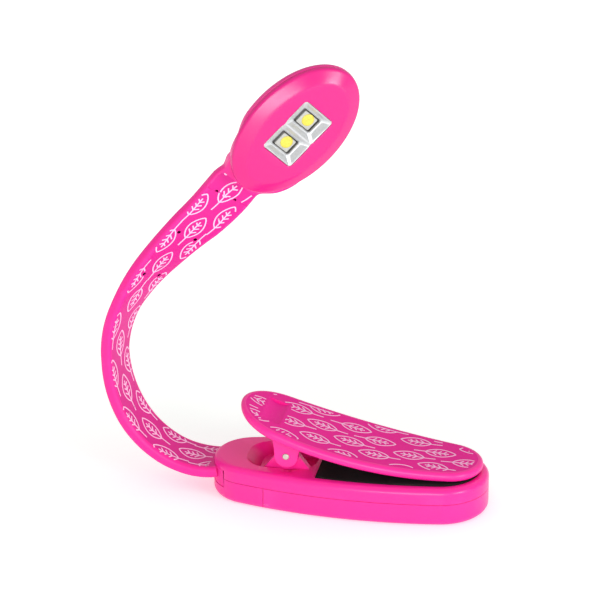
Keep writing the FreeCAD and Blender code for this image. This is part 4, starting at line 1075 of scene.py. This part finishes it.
def camera():
    """A long lens, 11 degrees round from the front and 23.5 degrees up."""
    turn, rise = math.radians(11.0), math.radians(23.5)
    back = Vector((math.sin(turn) * math.cos(rise), -math.cos(turn) * math.cos(rise), math.sin(rise)))
    right = Vector((math.cos(turn), math.sin(turn), 0))
    up = back.cross(right)
    reach, aside, lift = 760, 11.42, 44.36
    eye = back * reach - right * aside + up * lift
    data = bpy.data.cameras.new("camera")
    data.lens = 202.0
    data.sensor_width = 36.0
    data.clip_start = 0.01
    thing = new_object("camera", data)
    thing.matrix_world = Matrix.Translation(eye * MM) @ Matrix((right, up, back)).transposed().to_4x4()
    bpy.context.scene.camera = thing


# ---------------------------------------------------------------- the whole lamp

stage()
camera()
area_light("right", (0.62, -0.40, 0.21), (0, 0, 0.07), (0.26, 0.20), 1.9)
area_light("front", (0.10, -0.74, 0.18), (0, 0, 0.07), (0.36, 0.17), 2.0)
bpy.context.scene.view_settings.view_transform = "Standard"

root, strokes = place_neck()
block = root_block()
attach(block, "base")
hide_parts("neck_root_sleeve")

cover = head_cover()
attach(cover, "head")
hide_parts("head_front_cover")

cup = head_cup()
print_flare(cup, strokes)
print_head_holes(cup)
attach(cup, "head")
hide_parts("head_back_cup")
lip = head_lip()
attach(lip, "head")

plate = clip_lever()
print_clip(plate)
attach(plate, "clip")
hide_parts("clip_lever")

path, leg = spring_path()
for name, points, body in (("spring_coil", path, "base"), ("spring_leg", leg, "clip")):
    wire = tube(name, points, WIRE_RADIUS, SPRING)
    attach(wire, body)
    if name == "spring_coil":
        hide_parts("clip_spring")

for shell in ("base_upper_shell", "base_lower_shell", "battery_tray"):
    dress(shell, SHELL, 0.12)
dress("grip_pad", PAD, 0.1)
dress("hinge_pin", STEEL)
dress("base_screws", NICKEL)
dress("reflector", SILVER)
dress("led_board", BOARD)
dress("resistors", CHIP)
dress("tact_switch", CHIP)
dress("power_button", BUTTON, 0.1)
dress("base_leads", LEAD)
for side, along in (("upper", 3.35), ("lower", -3.35)):
    floor, package, dot = diode(f"diode_{side}", along)
    # the floor is the diode well's painted shade plate
    for thing, slot in ((floor, "chip_black"), (package, "led_white"), (dot, "phosphor_yellow")):
        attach(thing, "head")
    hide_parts(f"led_{side}")
    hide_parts(f"phosphor_{side}")
for name in ("coin_cell_1", "coin_cell_2", "contact_bridge", "contact_negative", "contact_positive",
             "neck_anchor_plate"):
    dress(name, NICKEL)
for name in ["neck_root_wires", "head_wires"] + [f"neck_wires_{i}" for i in range(1, 9)]:
    dress(name, COPPER)
